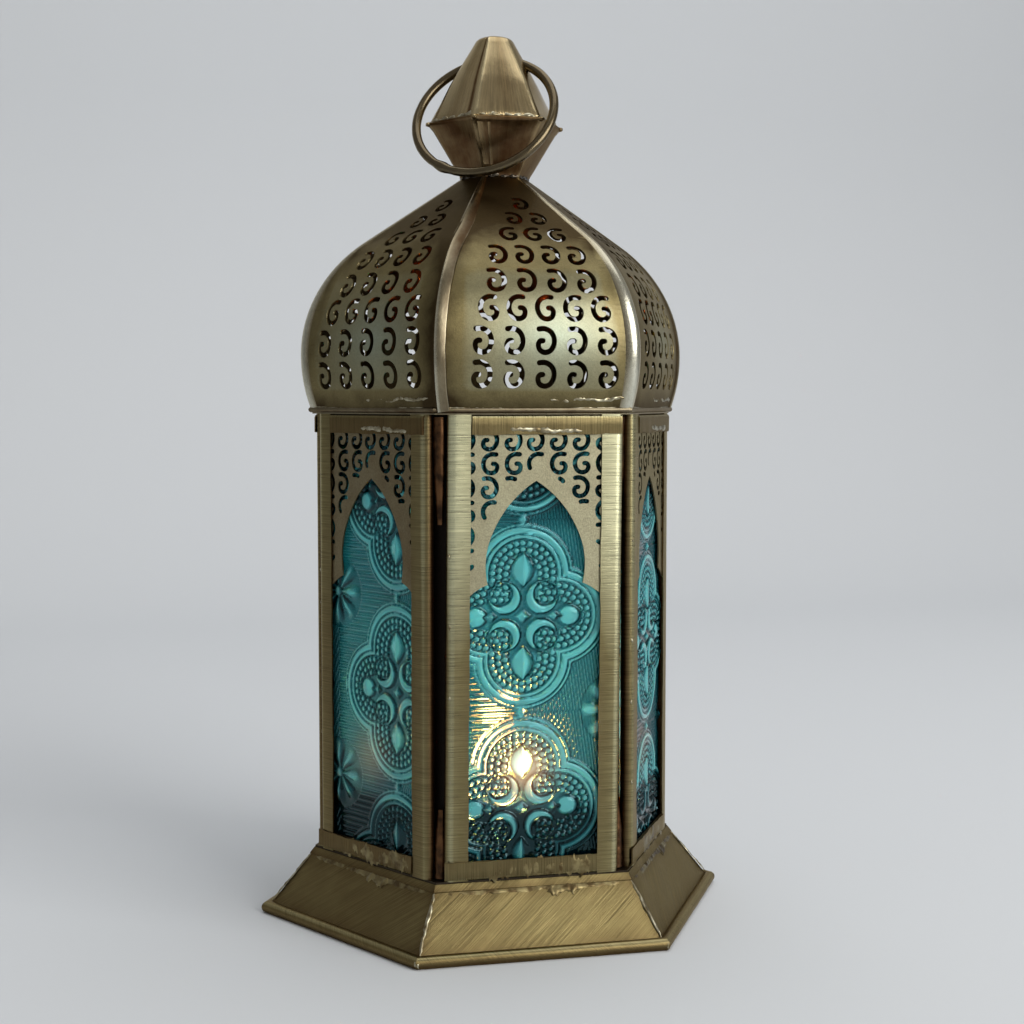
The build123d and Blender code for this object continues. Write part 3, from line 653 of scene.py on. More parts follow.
seams, blobs = Shape(), Shape()
topCorner, footCorner = plinth["topOut"] / cos30, plinth["footOut"] / cos30
for corner in range(6):
    azimuth, top, foot = corner * 60, plinth["top"], plinth["foot"]
    solderLine(seams, onCorner(azimuth, topCorner + 0.1, 0, top - 0.4),
        onCorner(azimuth, footCorner - 0.6, 0, foot + 1.6),
        1.0, plinthSolder["seam"], corner, onCorner(azimuth, 1, 0, 0.7))
    solderLine(seams, onCorner(azimuth, footCorner + 2.1, -0.6, foot + 1.0),
        onCorner(azimuth, footCorner + 2.1, 0.6, foot - 1.2),
        0.4, plinthSolder["tip"], corner, onCorner(azimuth, 1, 0, 0.2))
for face in range(6):
    out, top, lift = plinth["topOut"] + 1.9, plinth["top"], onFace(face, 0, 0.8, 0.6)
    start = 4 + 5 * sin(face * 2.1)
    solderLine(blobs, onFace(face, -29, out, top - 2.45), onFace(face, 29, out, top - 2.45),
        0.7, plinthSolder["line"], face, lift, 0.9)
    solderLine(blobs, onFace(face, start, out + 0.5, top - 3.2),
        onFace(face, start + 11, out + 0.4, top - 3.0),
        0.5, plinthSolder["patch"], face, lift)
seams.solder("plinth_corner_solder", "brightSolder")
blobs.solder("plinth_top_solder", "brassSolder")
print("plinth made")

# Folded strips of the six frames
strip = dict(width=7.2, railWidth=6.3, sheet=0.6, foldSteps=10, stations=36, wave=0.10,
    edge=0.16, plate=0.45, plateWave=0.15, plateEdge=0.25, overhang=0.9, doorGap=0.5,
    # round the fold: a painted highlight where it turns and painted shade deeper into the gap behind it
    foldPatinaAndLight=[0.15, 0.0, -0.05, -0.2, -0.35, -0.2, 0.1, 0.4, 0.6, 0.7] + [0.8] * 9,
    platePatina=[0.5, 0.3, 0.25, 0.2, -0.35, 0.3, 0.6, 0.6],
    # the upper half of each frame is made brighter, most of all in front
    brightFrom=92, brightOver=45, frontBright=0.75, otherBright=0.25, outside=0.45)
# width, height, first seed
stripSolder = dict(top=(1.5, 0.38, 300), foot=(4.6, 0.22, 340), spot=(1.0, 0.3, 380),
    spots=(35, 52, 78, 101))


def channelRing(width, bow, edge):
    # section of a folded strip: across runs in from the fold, depth outwards from its middle
    radius, inner = body["postRadius"], body["postRadius"] - strip["sheet"]
    ring = [(width + edge, radius + bow), (width * 0.6, radius + bow * 0.6), (radius + 0.4, radius + 0.02)]
    for step in range(strip["foldSteps"] + 1):
        turn = pi * (0.5 + step / strip["foldSteps"])
        ring.append((radius + radius * cos(turn), radius * sin(turn)))
    return ring + [(width, -radius), (width, -inner), (radius, -inner), (radius, inner),
        (width + edge, inner + bow)]


def heightBrightening(face, z):
    wear = strip["otherBright"] if face else strip["frontBright"]
    return faceDarkening[face] - wear * min(1.0, max(0.0, (z - strip["brightFrom"]) / strip["brightOver"]))


def stile(face, side, foot, height):
    shape = Shape(face * 19.0 + side * 7)
    bow, edge = wander(face * 5 + side, 4, 70.0), wander(face * 5 + side + 50, 6, 40.0)
    rings = []
    for at in range(strip["stations"] + 1):
        z = foot + height * at / strip["stations"]
        section = channelRing(strip["width"], strip["wave"] * bow(z), strip["edge"] * edge(z))
        rings.append([onFace(face, leaning(face, side * (body["faceHalf"] - across), z),
                    body["channelMid"] + depth, z) for across, depth in section])
    shape.loft(rings, strip["foldPatinaAndLight"])
    for at, (x, y, z) in enumerate(shape.points):
        shape.patina[at] += heightBrightening(face, z) if shape.patina[at] < strip["outside"] else faceDarkening[face]
    return shape


def rail(face, level, upwards, start, end):
    # level is the fold's edge; the cover plate runs from start to end over the stiles
    shape = Shape(face * 23.0 + upwards * 3)
    bow, edge = wander(face * 7 + upwards + 200, 4, 50.0), wander(face * 7 + upwards + 250, 6, 26.0)
    count, inner, radius = strip["stations"], body["stileInner"], body["postRadius"]

    def ringAt(u, section):
        return [onFace(face, leaning(face, u, level), body["channelMid"] + depth, level + upwards * across)
            for across, depth in section]

    channel = channelRing(strip["railWidth"], 0.0, 0.0)
    rings = [ringAt(-inner + 2 * inner * at / count, channel) for at in range(count + 1)]
    shape.loft(rings, strip["foldPatinaAndLight"])
    rings, top = [], radius + strip["plate"]
    for at in range(count + 1):
        u = start + (end - start) * at / count
        lift, wide = strip["plateWave"] * bow(u), strip["railWidth"] + strip["plateEdge"] * edge(u)
        rings.append(ringAt(u, [(wide, radius + 0.05), (wide, top + lift), (wide * 0.55, top + lift * 0.5),
                    (1.3, top), (0.5, top - 0.35), (0.1, radius - 0.7), (0.5, radius - 0.75),
                    (1.3, radius - 0.02)]))
    shape.loft(rings, strip["platePatina"])
    shape.patina = [shade + faceDarkening[face] for shade in shape.patina]
    return shape


def frameSolder(face, title, foot, head):
    runs, patch, lift = Shape(), Shape(), onFace(face, 0, 1, 0)
    out, start = body["faceOut"] + strip["plate"], -9 + 6 * sin(face * 1.7)
    solderLine(runs, onFace(face, start, out, head - 4.6), onFace(face, start + 25, out, head - 5.3), 0.6,
        stripSolder["top"], face, lift)
    solderLine(patch, onFace(face, -16, out, foot + 3.1), onFace(face, 20, out, foot + 3.1), 0.5,
        stripSolder["foot"], face, lift, 0.6)
    for spot in stripSolder["spots"]:
        u, out, z = -body["faceHalf"] + 0.9, body["faceOut"] - 0.3, foot + spot + 7 * sin(face + spot)
        solderLine(runs, onFace(face, u, out, z - 0.9), onFace(face, u, out, z + 0.9), 0.3,
            stripSolder["spot"], face * 9 + spot, onFace(face, -0.6, 1, 0))
    runs.solder(f"{title}_strip_solder", "brightSolder", bodyOf(face))
    patch.solder(f"{title}_foot_solder", "brassSolder", bodyOf(face))


for face, title in enumerate(faceTitles):
    gap, half, inner = doorGap(face), body["faceHalf"], body["stileInner"]
    foot, height = body["floorTop"] + gap, body["frameTop"] - body["floorTop"] - 2 * gap
    head, past = foot + height, 0.0 if gap else strip["overhang"]
    for side, word in ((1, "right"), (-1, "left")):
        post = stile(face, side, foot, height)
        post.piece(f"{title}_strip_{word}", "frameBrass", bodyOf(face), "frame_brass",
            [f"{title}_stile_{word}"])
    for word, strips in (("bottom", rail(face, foot, 1, -half + 0.6 - past, inner - 0.1)),
            ("top", rail(face, head, -1, -inner + 0.2, half - 0.8))):
        strips.piece(f"{title}_strip_{word}", "frameBrass", bodyOf(face), "frame_brass", [f"{title}_rails"])
    frameSolder(face, title, foot, head)
print("frames made")

# Pierced arches
fret = dict(apex=150.4, crook=(7.7, 143.8), haunch=(13.4, 134.8), belly=(15.9, 125.7),
    waist=(15.3, 117.5), hollow=(18.15, 116.1), shoulder=(21.0, 114.0), top=169.05, lift=0.03,
    rows=[163.4, 155.9, 148.3, 140.7, 133.1, 125.5],
    columns=[-22.3, -14.8, -7.35, -0.25, 7.1, 14.5, 22.0], scroll=(0.83, 0.80), slotHalf=0.74,
    border=4.2, rightBorder=5.0, margin=1.2, shortest=4, stub=0.2,
    # stain weighs the face's darkening, which is partly painted shade
    tone=0.05, stain=2.0, inside=0.8)


def archLine():
    right = (arcThrough(fret["shoulder"], fret["hollow"], fret["waist"], 8)[:-1]
        + arcThrough(fret["waist"], fret["belly"], fret["haunch"], 20)[:-1]
        + arcThrough(fret["haunch"], fret["crook"], (0.0, fret["apex"]), 14))
    return right + [(-x, y) for x, y in reversed(right[:-1])]


def trimmedScrolls():
    # every scroll of the grid, less the stretches that come too near the arch or the foot
    arch = np.array(archLine())
    rising = arch[:len(arch) // 2]
    edge = np.array([point for a, b in zip(arch, arch[1:]) for point in (a, (a + b) / 2)])

    def kept(point):
        u, z = point
        if abs(u) >= body["paneHalf"] - fret["margin"] or z >= fret["top"] - fret["margin"]:
            return False
        under = abs(u) < np.interp(z, rising[:, 1], rising[:, 0]) and z < fret["apex"]
        border = fret["rightBorder"] if u > 0 else fret["border"]
        return np.linalg.norm(edge - point, axis=1).min() > border and not under

    loops = []
    for row, z in enumerate(fret["rows"]):
        for u in fret["columns"]:
            stretches = [[]]
            for point in scroll((u, z), *fret["scroll"], row % 2 == 1):
                if kept(point):
                    stretches[-1].append(point)
                elif stretches[-1]:
                    stretches.append([])
            line = max(stretches, key=len)
            if line:
                if len(line) < fret["shortest"]:
                    line = [line[0], (line[0][0] + fret["stub"], line[0][1])]
                loops.append(slotLoop(line, fret["slotHalf"]))
    return loops


half, low, high = body["paneHalf"], fret["shoulder"][1], fret["top"]
outline = [(-half, low), *archLine()[::-1], (half, low), (half, high), (-half, high)]
flat, flatFaces = cutFlat(outline, trimmedScrolls())
for face, title in enumerate(faceTitles):
    shape = Shape(face * 29.0)
    back = body["glassOut"] + fret["lift"]
    outer, inner = [[onFace(face, leaning(face, u, z), out, z - doorGap(face)) for u, z in flat]
        for out in (back + body["fretSheet"], back)]
    shade = [fret["tone"] + faceDarkening[face] * fret["stain"]] * len(flat) + [fret["inside"]] * len(flat)
    shape.add(outer + inner, thicken(flatFaces, len(flat)), flat + flat, shade)
    shape.piece(f"{title}_pierced_arch", "fretBrass", bodyOf(face), "fret_brass", [f"{title}_fret"])
print("arches made:", len(flat), "points each")

# Pressed glass
glass = dict(cell=0.38, depth=1.2, inset=0.06, play=0.1, fade=1.5,
    # where one repeat of the pattern has its middle on each pane
    centres=[(-3.5, 106.9), (2.0, 95.0), (-8.0, 60.0), (12.5, 83.6), (-12.0, 110.0), (11.5, 80.8)],
    # how clear the glass is: clearer on crests, with painted shade on steep flanks, painted light and shade
    # on flanks by the side they face, painted shade at the foot and shade at the head
    clear=0.26, crest=0.72, aside=0.24, slant=2.5, flankShade=0.55, steep=1.5,
    footShade=0.46, footShadeBelow=47.0, footShadeOver=7, shade=0.40, shadeAbove=134.0, shadeOver=16,
    haze=[0.0, 0.21, 0.04, 0.0, 0.05, 0.02],
    # candle light painted on each pane as a glow that the glass gives off
    glow=[1.0, 0.3, 0.2, 0.2, 0.2, 0.3], glowAt=(-3.0, 58.0), glowReach=6.2)
# one repeat of the pressed pattern; heights run from 0 to about 1
pattern = dict(pitch=62.0, lobe=11.0, tall=13.8, wide=11.4, core=9.0, ground=0.10, groove=0.06,
    rib=0.98, ribLean=0.15, flower=12.0, petal=6.2, eye=2.0, stone=(2.3, 3.2),
    border=5.2, ridges=[(0.62, 0.75, 0.75), (0.80, 2.75, 1.25), (0.45, 4.6, 0.55)],
    bead=2.15, beadRadius=0.98, beadPower=2.6, rows=3, firstRow=1.25,
    leafAt=15.0, leafHalf=3.4, leafReach=5.5, bossAt=15.0, boss=(3.5, 3.3),
    pyramidAt=10.1, pyramid=(2.2, 2.0), moonAt=5.9, moon=5.15, hollowAt=(1.45, 1.5),
    hollow=3.9, middle=(3.0, 2.5), middleGroove=(3.6, 3.1))


def pressedRelief(u, z, centre):
    pitch, lobe, ground, groove = [pattern[key] for key in ("pitch", "lobe", "ground", "groove")]
    x = (u - centre[0] + pitch / 2) % pitch - pitch / 2
    y = (z - centre[1] + pitch / 2) % pitch - pitch / 2
    ax, ay = np.abs(x), np.abs(y)
    tall = np.hypot(ax, ay - pattern["tall"]) - lobe
    wide = np.hypot(ax - pattern["wide"], ay) - lobe
    outside = np.minimum(np.minimum(tall, wide), np.hypot(ax, ay) - pattern["core"])
    # background: fine ribs, leaves round the lattice points, raised borders
    ribs = np.where(x > 0, np.sin(2 * np.pi * (u + pattern["ribLean"] * y) / pattern["rib"]),
        np.sin(2 * np.pi * z / pattern["rib"]))
    height = 0.16 + 0.13 * ribs
    fx, fy = pitch / 2 - ax, pitch / 2 - ay
    reach, turn = np.hypot(fx, fy), np.arctan2(fy, fx)
    leaf = np.abs((turn / (np.pi / 4) + 0.5) % 1 - 0.5) * 2
    petal = np.clip(1 - leaf * 1.25, 0, 1) * np.clip(1 - np.abs(reach - pattern["petal"]) / 6.0, 0, 1) * 1.25
    height = np.where(reach < pattern["flower"], np.maximum(height * 0.35, petal), height)
    eye = 0.9 * np.clip(1 - reach / pattern["eye"], 0, 1) ** 0.5
    height = np.where(reach < pattern["eye"], eye, height)
    height = np.where(outside < pattern["border"], ground, height)
    height = np.maximum(height, np.clip(1 - ax / pattern["stone"][0] - fy / pattern["stone"][1], 0, 1))
    for crest, middle, half in pattern["ridges"]:
        height = np.maximum(height, crest * np.clip(1 - ((outside - middle) / half) ** 2, 0, 1) ** 0.5)
    # square beads in rows that follow each lobe
    upright, step = (tall - wide) < 0, pattern["bead"]
    aside = np.where(upright, ax, ay)
    ahead = np.where(upright, ay - pattern["tall"], ax - pattern["wide"])
    rho = np.where(ahead > 0, np.hypot(aside, ahead), aside)
    first = lobe - pattern["firstRow"]
    rowAt = first - np.clip(np.round((first - rho) / step), 0, pattern["rows"] - 1) * step
    along = np.where(ahead > 0, rowAt * np.arctan2(aside, ahead), rowAt * np.pi / 2 - ahead)
    off = ((along / step + 0.5) % 1 - 0.5) * step
    squared = ((np.abs(rho - rowAt) / pattern["beadRadius"]) ** pattern["beadPower"]
        + (np.abs(off) / pattern["beadRadius"]) ** pattern["beadPower"])
    inside = ground + 0.62 * np.clip(1 - squared, 0, 1) ** 0.55
    # leaf with a sharp ridge in the tall lobes, round boss and small pyramid in the wide ones
    leafAt, leafReach = pattern["leafAt"], pattern["leafReach"]
    leafHalf = pattern["leafHalf"] * np.clip(1 - ((ay - leafAt) / leafReach) ** 2, 0.001, 1)
    inside = np.where((ax < leafHalf + 0.7) & (np.abs(ay - leafAt) < leafReach + 0.4), groove, inside)
    inside = np.maximum(inside, np.clip(1.02 - 0.85 * ax / leafHalf, 0, 1) * (ax < leafHalf))
    boss = np.hypot((ax - pattern["bossAt"]) / pattern["boss"][0], ay / pattern["boss"][1])
    inside = np.where(boss < 1.2, groove, inside)
    inside = np.maximum(inside, 0.95 * np.clip(1 - boss**2, 0, 1) ** 0.5)
    pyramid = 1 - np.abs(ax - pattern["pyramidAt"]) / pattern["pyramid"][0] - ay / pattern["pyramid"][1]
    inside = np.where(pyramid > -0.25, np.maximum(groove, 0.9 * np.clip(pyramid, 0, 1)), inside)
    # crescents round the middle, open outwards, with beads inside them
    cx, cy = ax - pattern["moonAt"], ay - pattern["moonAt"]
    edge = pattern["moon"] - np.hypot(cx, cy)
    brim = np.hypot(cx - pattern["hollowAt"][0], cy - pattern["hollowAt"][1]) - pattern["hollow"]
    thick = np.maximum(edge + brim, 1e-3)
    moon = np.clip(1 - (2 * edge / thick - 1) ** 2, 0, 1) ** 0.5 * np.clip(thick / 1.2, 0, 1)
    inside = np.where((edge < 0) & (edge > -0.6), groove, inside)
    inside = np.where((edge > 0) & (brim < 0) & (brim > -0.45), groove, inside)
    inside = np.where((edge > 0) & (brim > 0), np.maximum(groove, 0.98 * moon), inside)
    middle = 1.1 * np.clip(1 - ax / pattern["middle"][0] - ay / pattern["middle"][1], 0, 1)
    around = ax / pattern["middleGroove"][0] + ay / pattern["middleGroove"][1]
    inside = np.where(around < 1, np.maximum(groove, middle), inside)
    return np.where(outside < 0, inside, height)


def paneShape(face):
    half, gap = body["paneHalf"], doorGap(face)
    foot = body["floorTop"] + body["postRadius"] + glass["play"] + gap
    head = body["frameTop"] - body["postRadius"] - glass["play"] - gap
    across, up = int(2 * half / glass["cell"]), int((head - foot) / glass["cell"])
    us, zs = np.linspace(-half, half, across), np.linspace(foot, head, up)
    u, z = np.meshgrid(us, zs)
    rimmed = np.minimum(np.minimum(u + half, half - u), np.minimum(z - foot, head - z)) / glass["fade"]
    relief = np.clip(pressedRelief(u, z, glass["centres"][face]) * np.clip(rimmed, 0, 1), 0, 1)
    out = body["glassOut"] - glass["inset"] - glass["depth"] + glass["depth"] * relief
    rises = np.gradient(relief * glass["depth"], zs, us)
    # painted shade on steep flanks and at the foot, painted light and shade on flanks by the side they face
    flankShade = np.clip(np.hypot(*rises) / glass["steep"], 0, 1)
    aside = np.tanh(rises[1] * glass["slant"])
    low = np.clip((glass["footShadeBelow"] - z) / glass["footShadeOver"], 0, 1)
    high = np.clip((z - glass["shadeAbove"]) / glass["shadeOver"], 0, 1)
    clear = (glass["clear"] + glass["crest"] * relief + glass["aside"] * aside - glass["flankShade"] * flankShade
        - glass["footShade"] * low - glass["shade"] * high)
    clear = np.clip(clear - glass["haze"][face], 0, 1)
    # painted glow: the candle's light painted on the pane round the flame's place
    away = np.hypot(u - glass["glowAt"][0], z - glass["glowAt"][1]) / glass["glowReach"]
    paintedGlow = glass["glow"][face] * np.exp(-away**2 / 2) * (0.5 + 0.6 * clear)
    u = leaning(face, u, z)
    points = [tuple(point) for point in np.stack(onFace(face, u, out, z), -1).reshape(-1, 3)]
    at = np.arange(up * across).reshape(up, across)
    faces = np.stack([at[:-1, :-1], at[:-1, 1:], at[1:, 1:], at[1:, :-1]], -1).reshape(-1, 4)
    # walls run back from the rim to a flat back
    rim = ([(0, k) for k in range(across - 1)] + [(k, across - 1) for k in range(up - 1)]
        + [(up - 1, k) for k in range(across - 1, 0, -1)] + [(k, 0) for k in range(up - 1, 0, -1)])
    back = [onFace(face, u[i, k], body["glassIn"], z[i, k]) for i, k in rim]
    edge, start = [int(at[i, k]) for i, k in rim], up * across
    walls = []
    for k in range(len(edge)):
        beside = (k + 1) % len(edge)
        walls.append((edge[beside], edge[k], start + k, start + beside))
    faces = [tuple(int(v) for v in quad) for quad in faces] + walls
    faces.append(tuple(start + k for k in reversed(range(len(edge)))))
    shape = Shape()
    shape.add(points + back, faces, None, list(paintedGlow.ravel()) + [0.0] * len(back))
    return shape, list(clear.ravel()) + [1.0] * len(back)


for face, title in enumerate(faceTitles):
    pane, relief = paneShape(face)
    pane.piece(f"{title}_pressed_pane", "pressedGlass", bodyOf(face), "pressed_glass", [f"{title}_glass"],
        45.0, relief, mend=False)
print("glass made")

# Dome
dome = dict(rim=55.1, bulge=3.1, bulgeHeight=18.8, crownRadius=48.3, crownTurn=52.5, neck=10.4,
    sheet=0.75, rows=[12.2, 22.75, 33.2, 42.8, 53.1, 63.4, 72.9, 82.0],
    counts=[5, 5, 5, 4, 4, 3, 2, 1], pitches=[10.5, 10.3, 9.3, 10.0, 8.8, 8.3, 8.4, 0.0],
    sizes=[1.0, 1.0, 0.98, 0.97, 0.92, 0.86, 0.80, 0.78], slotHalf=0.86, level=1.5, pillow=0.5,
    # how far the pierced pattern sits off the middle of each gore, and how far each corner slipped
    shifts=[2.8, 0.6, -0.8, 0.5, -0.6, 1.6], spread=[1.0, 1.0, 1.0, 1.0, 1.0, 1.07],
    slips={240: 1.4}, slipFade=30,
    # how dark each gore is, and how dark it gets at the foot, the neck, the laps and beside the bends, where
    # a line of painted shade and a painted highlight lie; lit is a painted highlight low on each gore
    goreDarkening=[-0.14, 0.1, 0.05, 0.0, 0.05, -0.1], footDark=0.8, neckDark=3.8, neckFrom=0.44,
    lapDark=0.95, bendShade=0.55, bendHighlight=0.5, lit=0.60, inside=0.9)
domeFoot = (dome["bulgeHeight"] ** 2 + dome["bulge"] ** 2) / (2 * dome["bulge"])
domeFootArc = domeFoot * asin(dome["bulgeHeight"] / domeFoot)
domeCrownArc = dome["crownRadius"] * radians(dome["crownTurn"])


def domeAt(length):
    # apothem, height and outward direction at a length up the gore
    bulgeOut, bulgeZ = dome["rim"] + dome["bulge"], body["rimTop"] + dome["bulgeHeight"]
    if length < domeFootArc:
        turn, middle, radius = (length - domeFootArc) / domeFoot, bulgeOut - domeFoot, domeFoot
    else:
        turn = min((length - domeFootArc) / dome["crownRadius"], radians(dome["crownTurn"]))
        middle, radius = bulgeOut - dome["crownRadius"], dome["crownRadius"]
    run = max(0.0, length - domeFootArc - domeCrownArc)
    return (middle + radius * cos(turn) - run * sin(turn),
        bulgeZ + radius * sin(turn) + run * cos(turn), (cos(turn), sin(turn)))


crownEnd = domeAt(domeFootArc + domeCrownArc)
domeLength = domeFootArc + domeCrownArc + hypot(crownEnd[0] - dome["neck"], body["neck"] - crownEnd[1])


def goreSlots(face):
    slots = []
    for row, (count, pitch, size) in enumerate(zip(dome["counts"], dome["pitches"], dome["sizes"])):
        for column in range(count):
            across = (column - (count - 1) / 2) * pitch * dome["spread"][face] + dome["shifts"][face]
            line = scroll((across, dome["rows"][row]), size, size, row % 3 == 2)
            slots.append(slotLoop(line, dome["slotHalf"] * (0.55 + 0.45 * size)))
    return slots


def slip(azimuth, s):
    return dome["slips"].get(azimuth % 360, 0.0) * min(1.0, (domeLength - s) / dome["slipFade"])


def gorePatinaAndLight(face, share, s):
    # dark beside the lapped strips; a line of painted shade and then a painted highlight beside the bends; a
    # painted highlight low on the gore
    out = abs(share)
    if (face + (share > 0)) % 2 == 0:
        side = dome["lapDark"] * (max(0, out - 0.70) / 0.30) ** 1.2
    else:
        side = dome["bendShade"] * max(0, 1 - abs(out - 0.86) / 0.1) - dome["bendHighlight"] * (out > 0.95)
    return (dome["goreDarkening"][face] + side + dome["footDark"] * max(0, 1 - s / 8)
        + dome["neckDark"] * max(0, s / domeLength - dome["neckFrom"])
        - dome["lit"] * max(0, 1 - abs(s - 24) / 17) * max(0, 1 - abs(share - 0.15) / 0.75))


def gore(face):
    right = [(domeAt(s)[0] * tan30, s) for s in np.linspace(0, domeLength, 60)]
    levels = [dome["level"] * step for step in range(1, int(domeLength / dome["level"]))]
    left = [(-x, s) for x, s in reversed(right)]
    flat, faces = cutFlat(right + left, goreSlots(face), levels, range(-30, 31, 4))
    shape, sheet = Shape(face * 41.0), dome["sheet"]
    outer, inner, shade, normals = [], [], [], []
    for x, s in flat:
        out, z, (nOut, nUp) = domeAt(s)
        share = x / (out * tan30)
        swell = dome["pillow"] * (1 - share**2)
        left = slip(240 + 60 * face, s) * (1 - share) / 2
        u = x + left + slip(300 + 60 * face, s) * (1 + share) / 2
        outer.append(onFace(face, u * (out + swell * nOut) / out, out + swell * nOut, z + swell * nUp))
        deep = out - sheet * nOut
        inner.append(onFace(face, u * deep / out, deep + swell * nOut, z + (swell - sheet) * nUp))
        tilt = 2 * dome["pillow"] * share / (out * tan30)
        normals.append(tuple(Vector(onFace(face, tilt, nOut, nUp)).normalized()))
        shade.append(gorePatinaAndLight(face, share, s))
    shape.add(outer + inner, thicken(faces, len(flat)), flat + flat, shade + [dome["inside"]] * len(flat))
    return shape, {"faces": len(faces), "normals": normals}


for face, name in enumerate(faceNames):
    shape, bent = gore(face)
    shape.piece("dome_gore_" + name, "domeBrass", "lantern", "dome_brass", ["gore_" + name], mend=False,
        bent=bent)
print("dome gores made")

# sections of the lapped and the bent strips: to the side, outwards, patina; the patina paints a highlight
# left of the middle of the lapped strips and down the middle of the bent ones
ribSections = [
    [(-2.5, -1.5, 0.9), (-2.25, -0.95, 0.4), (-1.7, -0.3, -0.2), (-0.9, 0.2, -0.6), (0.0, 0.42, -0.45),
        (0.9, 0.15, 0.0), (1.8, -0.4, 0.15), (2.7, -0.95, 0.25), (3.05, -1.25, -0.1), (3.05, -1.9, 0.8),
        (-2.5, -1.8, 0.8)],
    [(-4.0, -2.34, 0.3), (-3.0, -1.38, -0.1), (-2.0, -0.60, -0.5), (-1.0, -0.06, -0.7), (0.0, 0.16, -0.8),
        (1.0, -0.06, -0.7), (2.0, -0.60, -0.5), (3.0, -1.38, -0.1), (4.0, -2.34, 0.3), (3.0, -2.8, 0.8),
        (-3.0, -2.8, 0.8)]]
rib = dict(steps=70, slimFrom=0.72, slim=0.35, edge=3, edgeWave=0.08,
    # the strips are browner towards the neck
    brown=0.6, brownFrom=204, brownOver=26)
ribs = Shape()
for corner in range(6):
    azimuth, lapped, section = corner * 60, corner % 2 == 0, ribSections[corner % 2]
    rough, rings = wander(corner + 700, 4, 45.0), []
    for step in range(rib["steps"] + 1):
        s = domeLength * step / rib["steps"]
        out, z, (nOut, nUp) = domeAt(s)
        high, ring = s / domeLength - rib["slimFrom"], []
        slim = 1.0 if s < domeLength * rib["slimFrom"] else 1 - rib["slim"] * high / 0.28
        for side, lift, shade in section:
            if lapped and side > rib["edge"]:
                side += rib["edgeWave"] * rough(s)
            ring.append(onCorner(azimuth, out / cos30 + lift * nOut * slim, side * slim + slip(azimuth, s),
                    z + lift * nUp * slim))
        rings.append(ring)
    ribs.loft(rings, [shade for side, lift, shade in section])
ribs.patina = [shade + rib["brown"] * min(1.0, max(0.0, (point[2] - rib["brownFrom"]) / rib["brownOver"]))
    for shade, point in zip(ribs.patina, ribs.points)]
ribs.piece("dome_ribs", "ribBrass", "lantern", "dome_brass", ["dome_seams"])

# round the hem from outwards: lightest on its upper outer side and darker inside and underneath, as painted
# light and shade
hem = dict(out=55.35, z=172.75, radius=0.95, stations=24, wave=0.0,
    patina=[0.4, 0.2, 0.3, 0.5, 0.7, 0.7, 0.7, 0.7, 0.7, 0.6])
# width, height, first seed
domeSolder = dict(run=(1.1, 0.40, 720), line=(0.6, 0.18, 740), height=4.2, steps=52)
hemShape, hemSolder = Shape(), Shape()
for face in range(6):
    rolledEdge(hemShape, face, hem)
    start, (out, z, ahead) = -6 + 5 * cos(face * 1.3), domeAt(domeSolder["height"])
    path = [onFace(face, start + at * 0.62, out + 0.35, z + 0.4 * sin(at * 0.3 + face))
        for at in range(domeSolder["steps"])]
    solderRun(hemSolder, path, domeSolder["run"], face, onFace(face, 0, 1, 0), 0.7)
    path = [onFace(face, -29 + at * 0.7, hem["out"] + 0.5, hem["z"] + 1.0) for at in range(int(58 / 0.7))]
    solderRun(hemSolder, path, domeSolder["line"], face, onFace(face, 0, 1, 0.6), 0.9)
hemShape.piece("dome_hem", "ribBrass", "lantern", "dome_brass")
hemSolder.solder("dome_solder", "brightSolder")
print("dome made")

# Finial
finial = dict(steps=96, sheet=0.9, fine=1.6, seam=240.0, lap=0.42, lapTurn=40, round=0.945,
    upper=[(22.4, 270.3), (22.3, 271.2), (19.3, 276.9), (16.1, 283.4), (11.6, 291.0), (7.6, 297.4),
        (6.9, 298.6), (6.0, 299.4), (4.6, 299.9), (2.4, 300.0)],
    lower=[(12.0, 250.6), (12.1, 251.8), (13.0, 253.4), (14.4, 255.6), (18.4, 262.2), (21.6, 267.4),
        (23.0, 269.0), (23.7, 269.7), (23.7, 270.3), (22.9, 270.8), (21.5, 270.6)],
    plug=[(2.9, 299.2), (2.9, 299.85), (2.4, 299.98), (1.2, 300.0), (0.05, 300.0)], plugSteps=48)


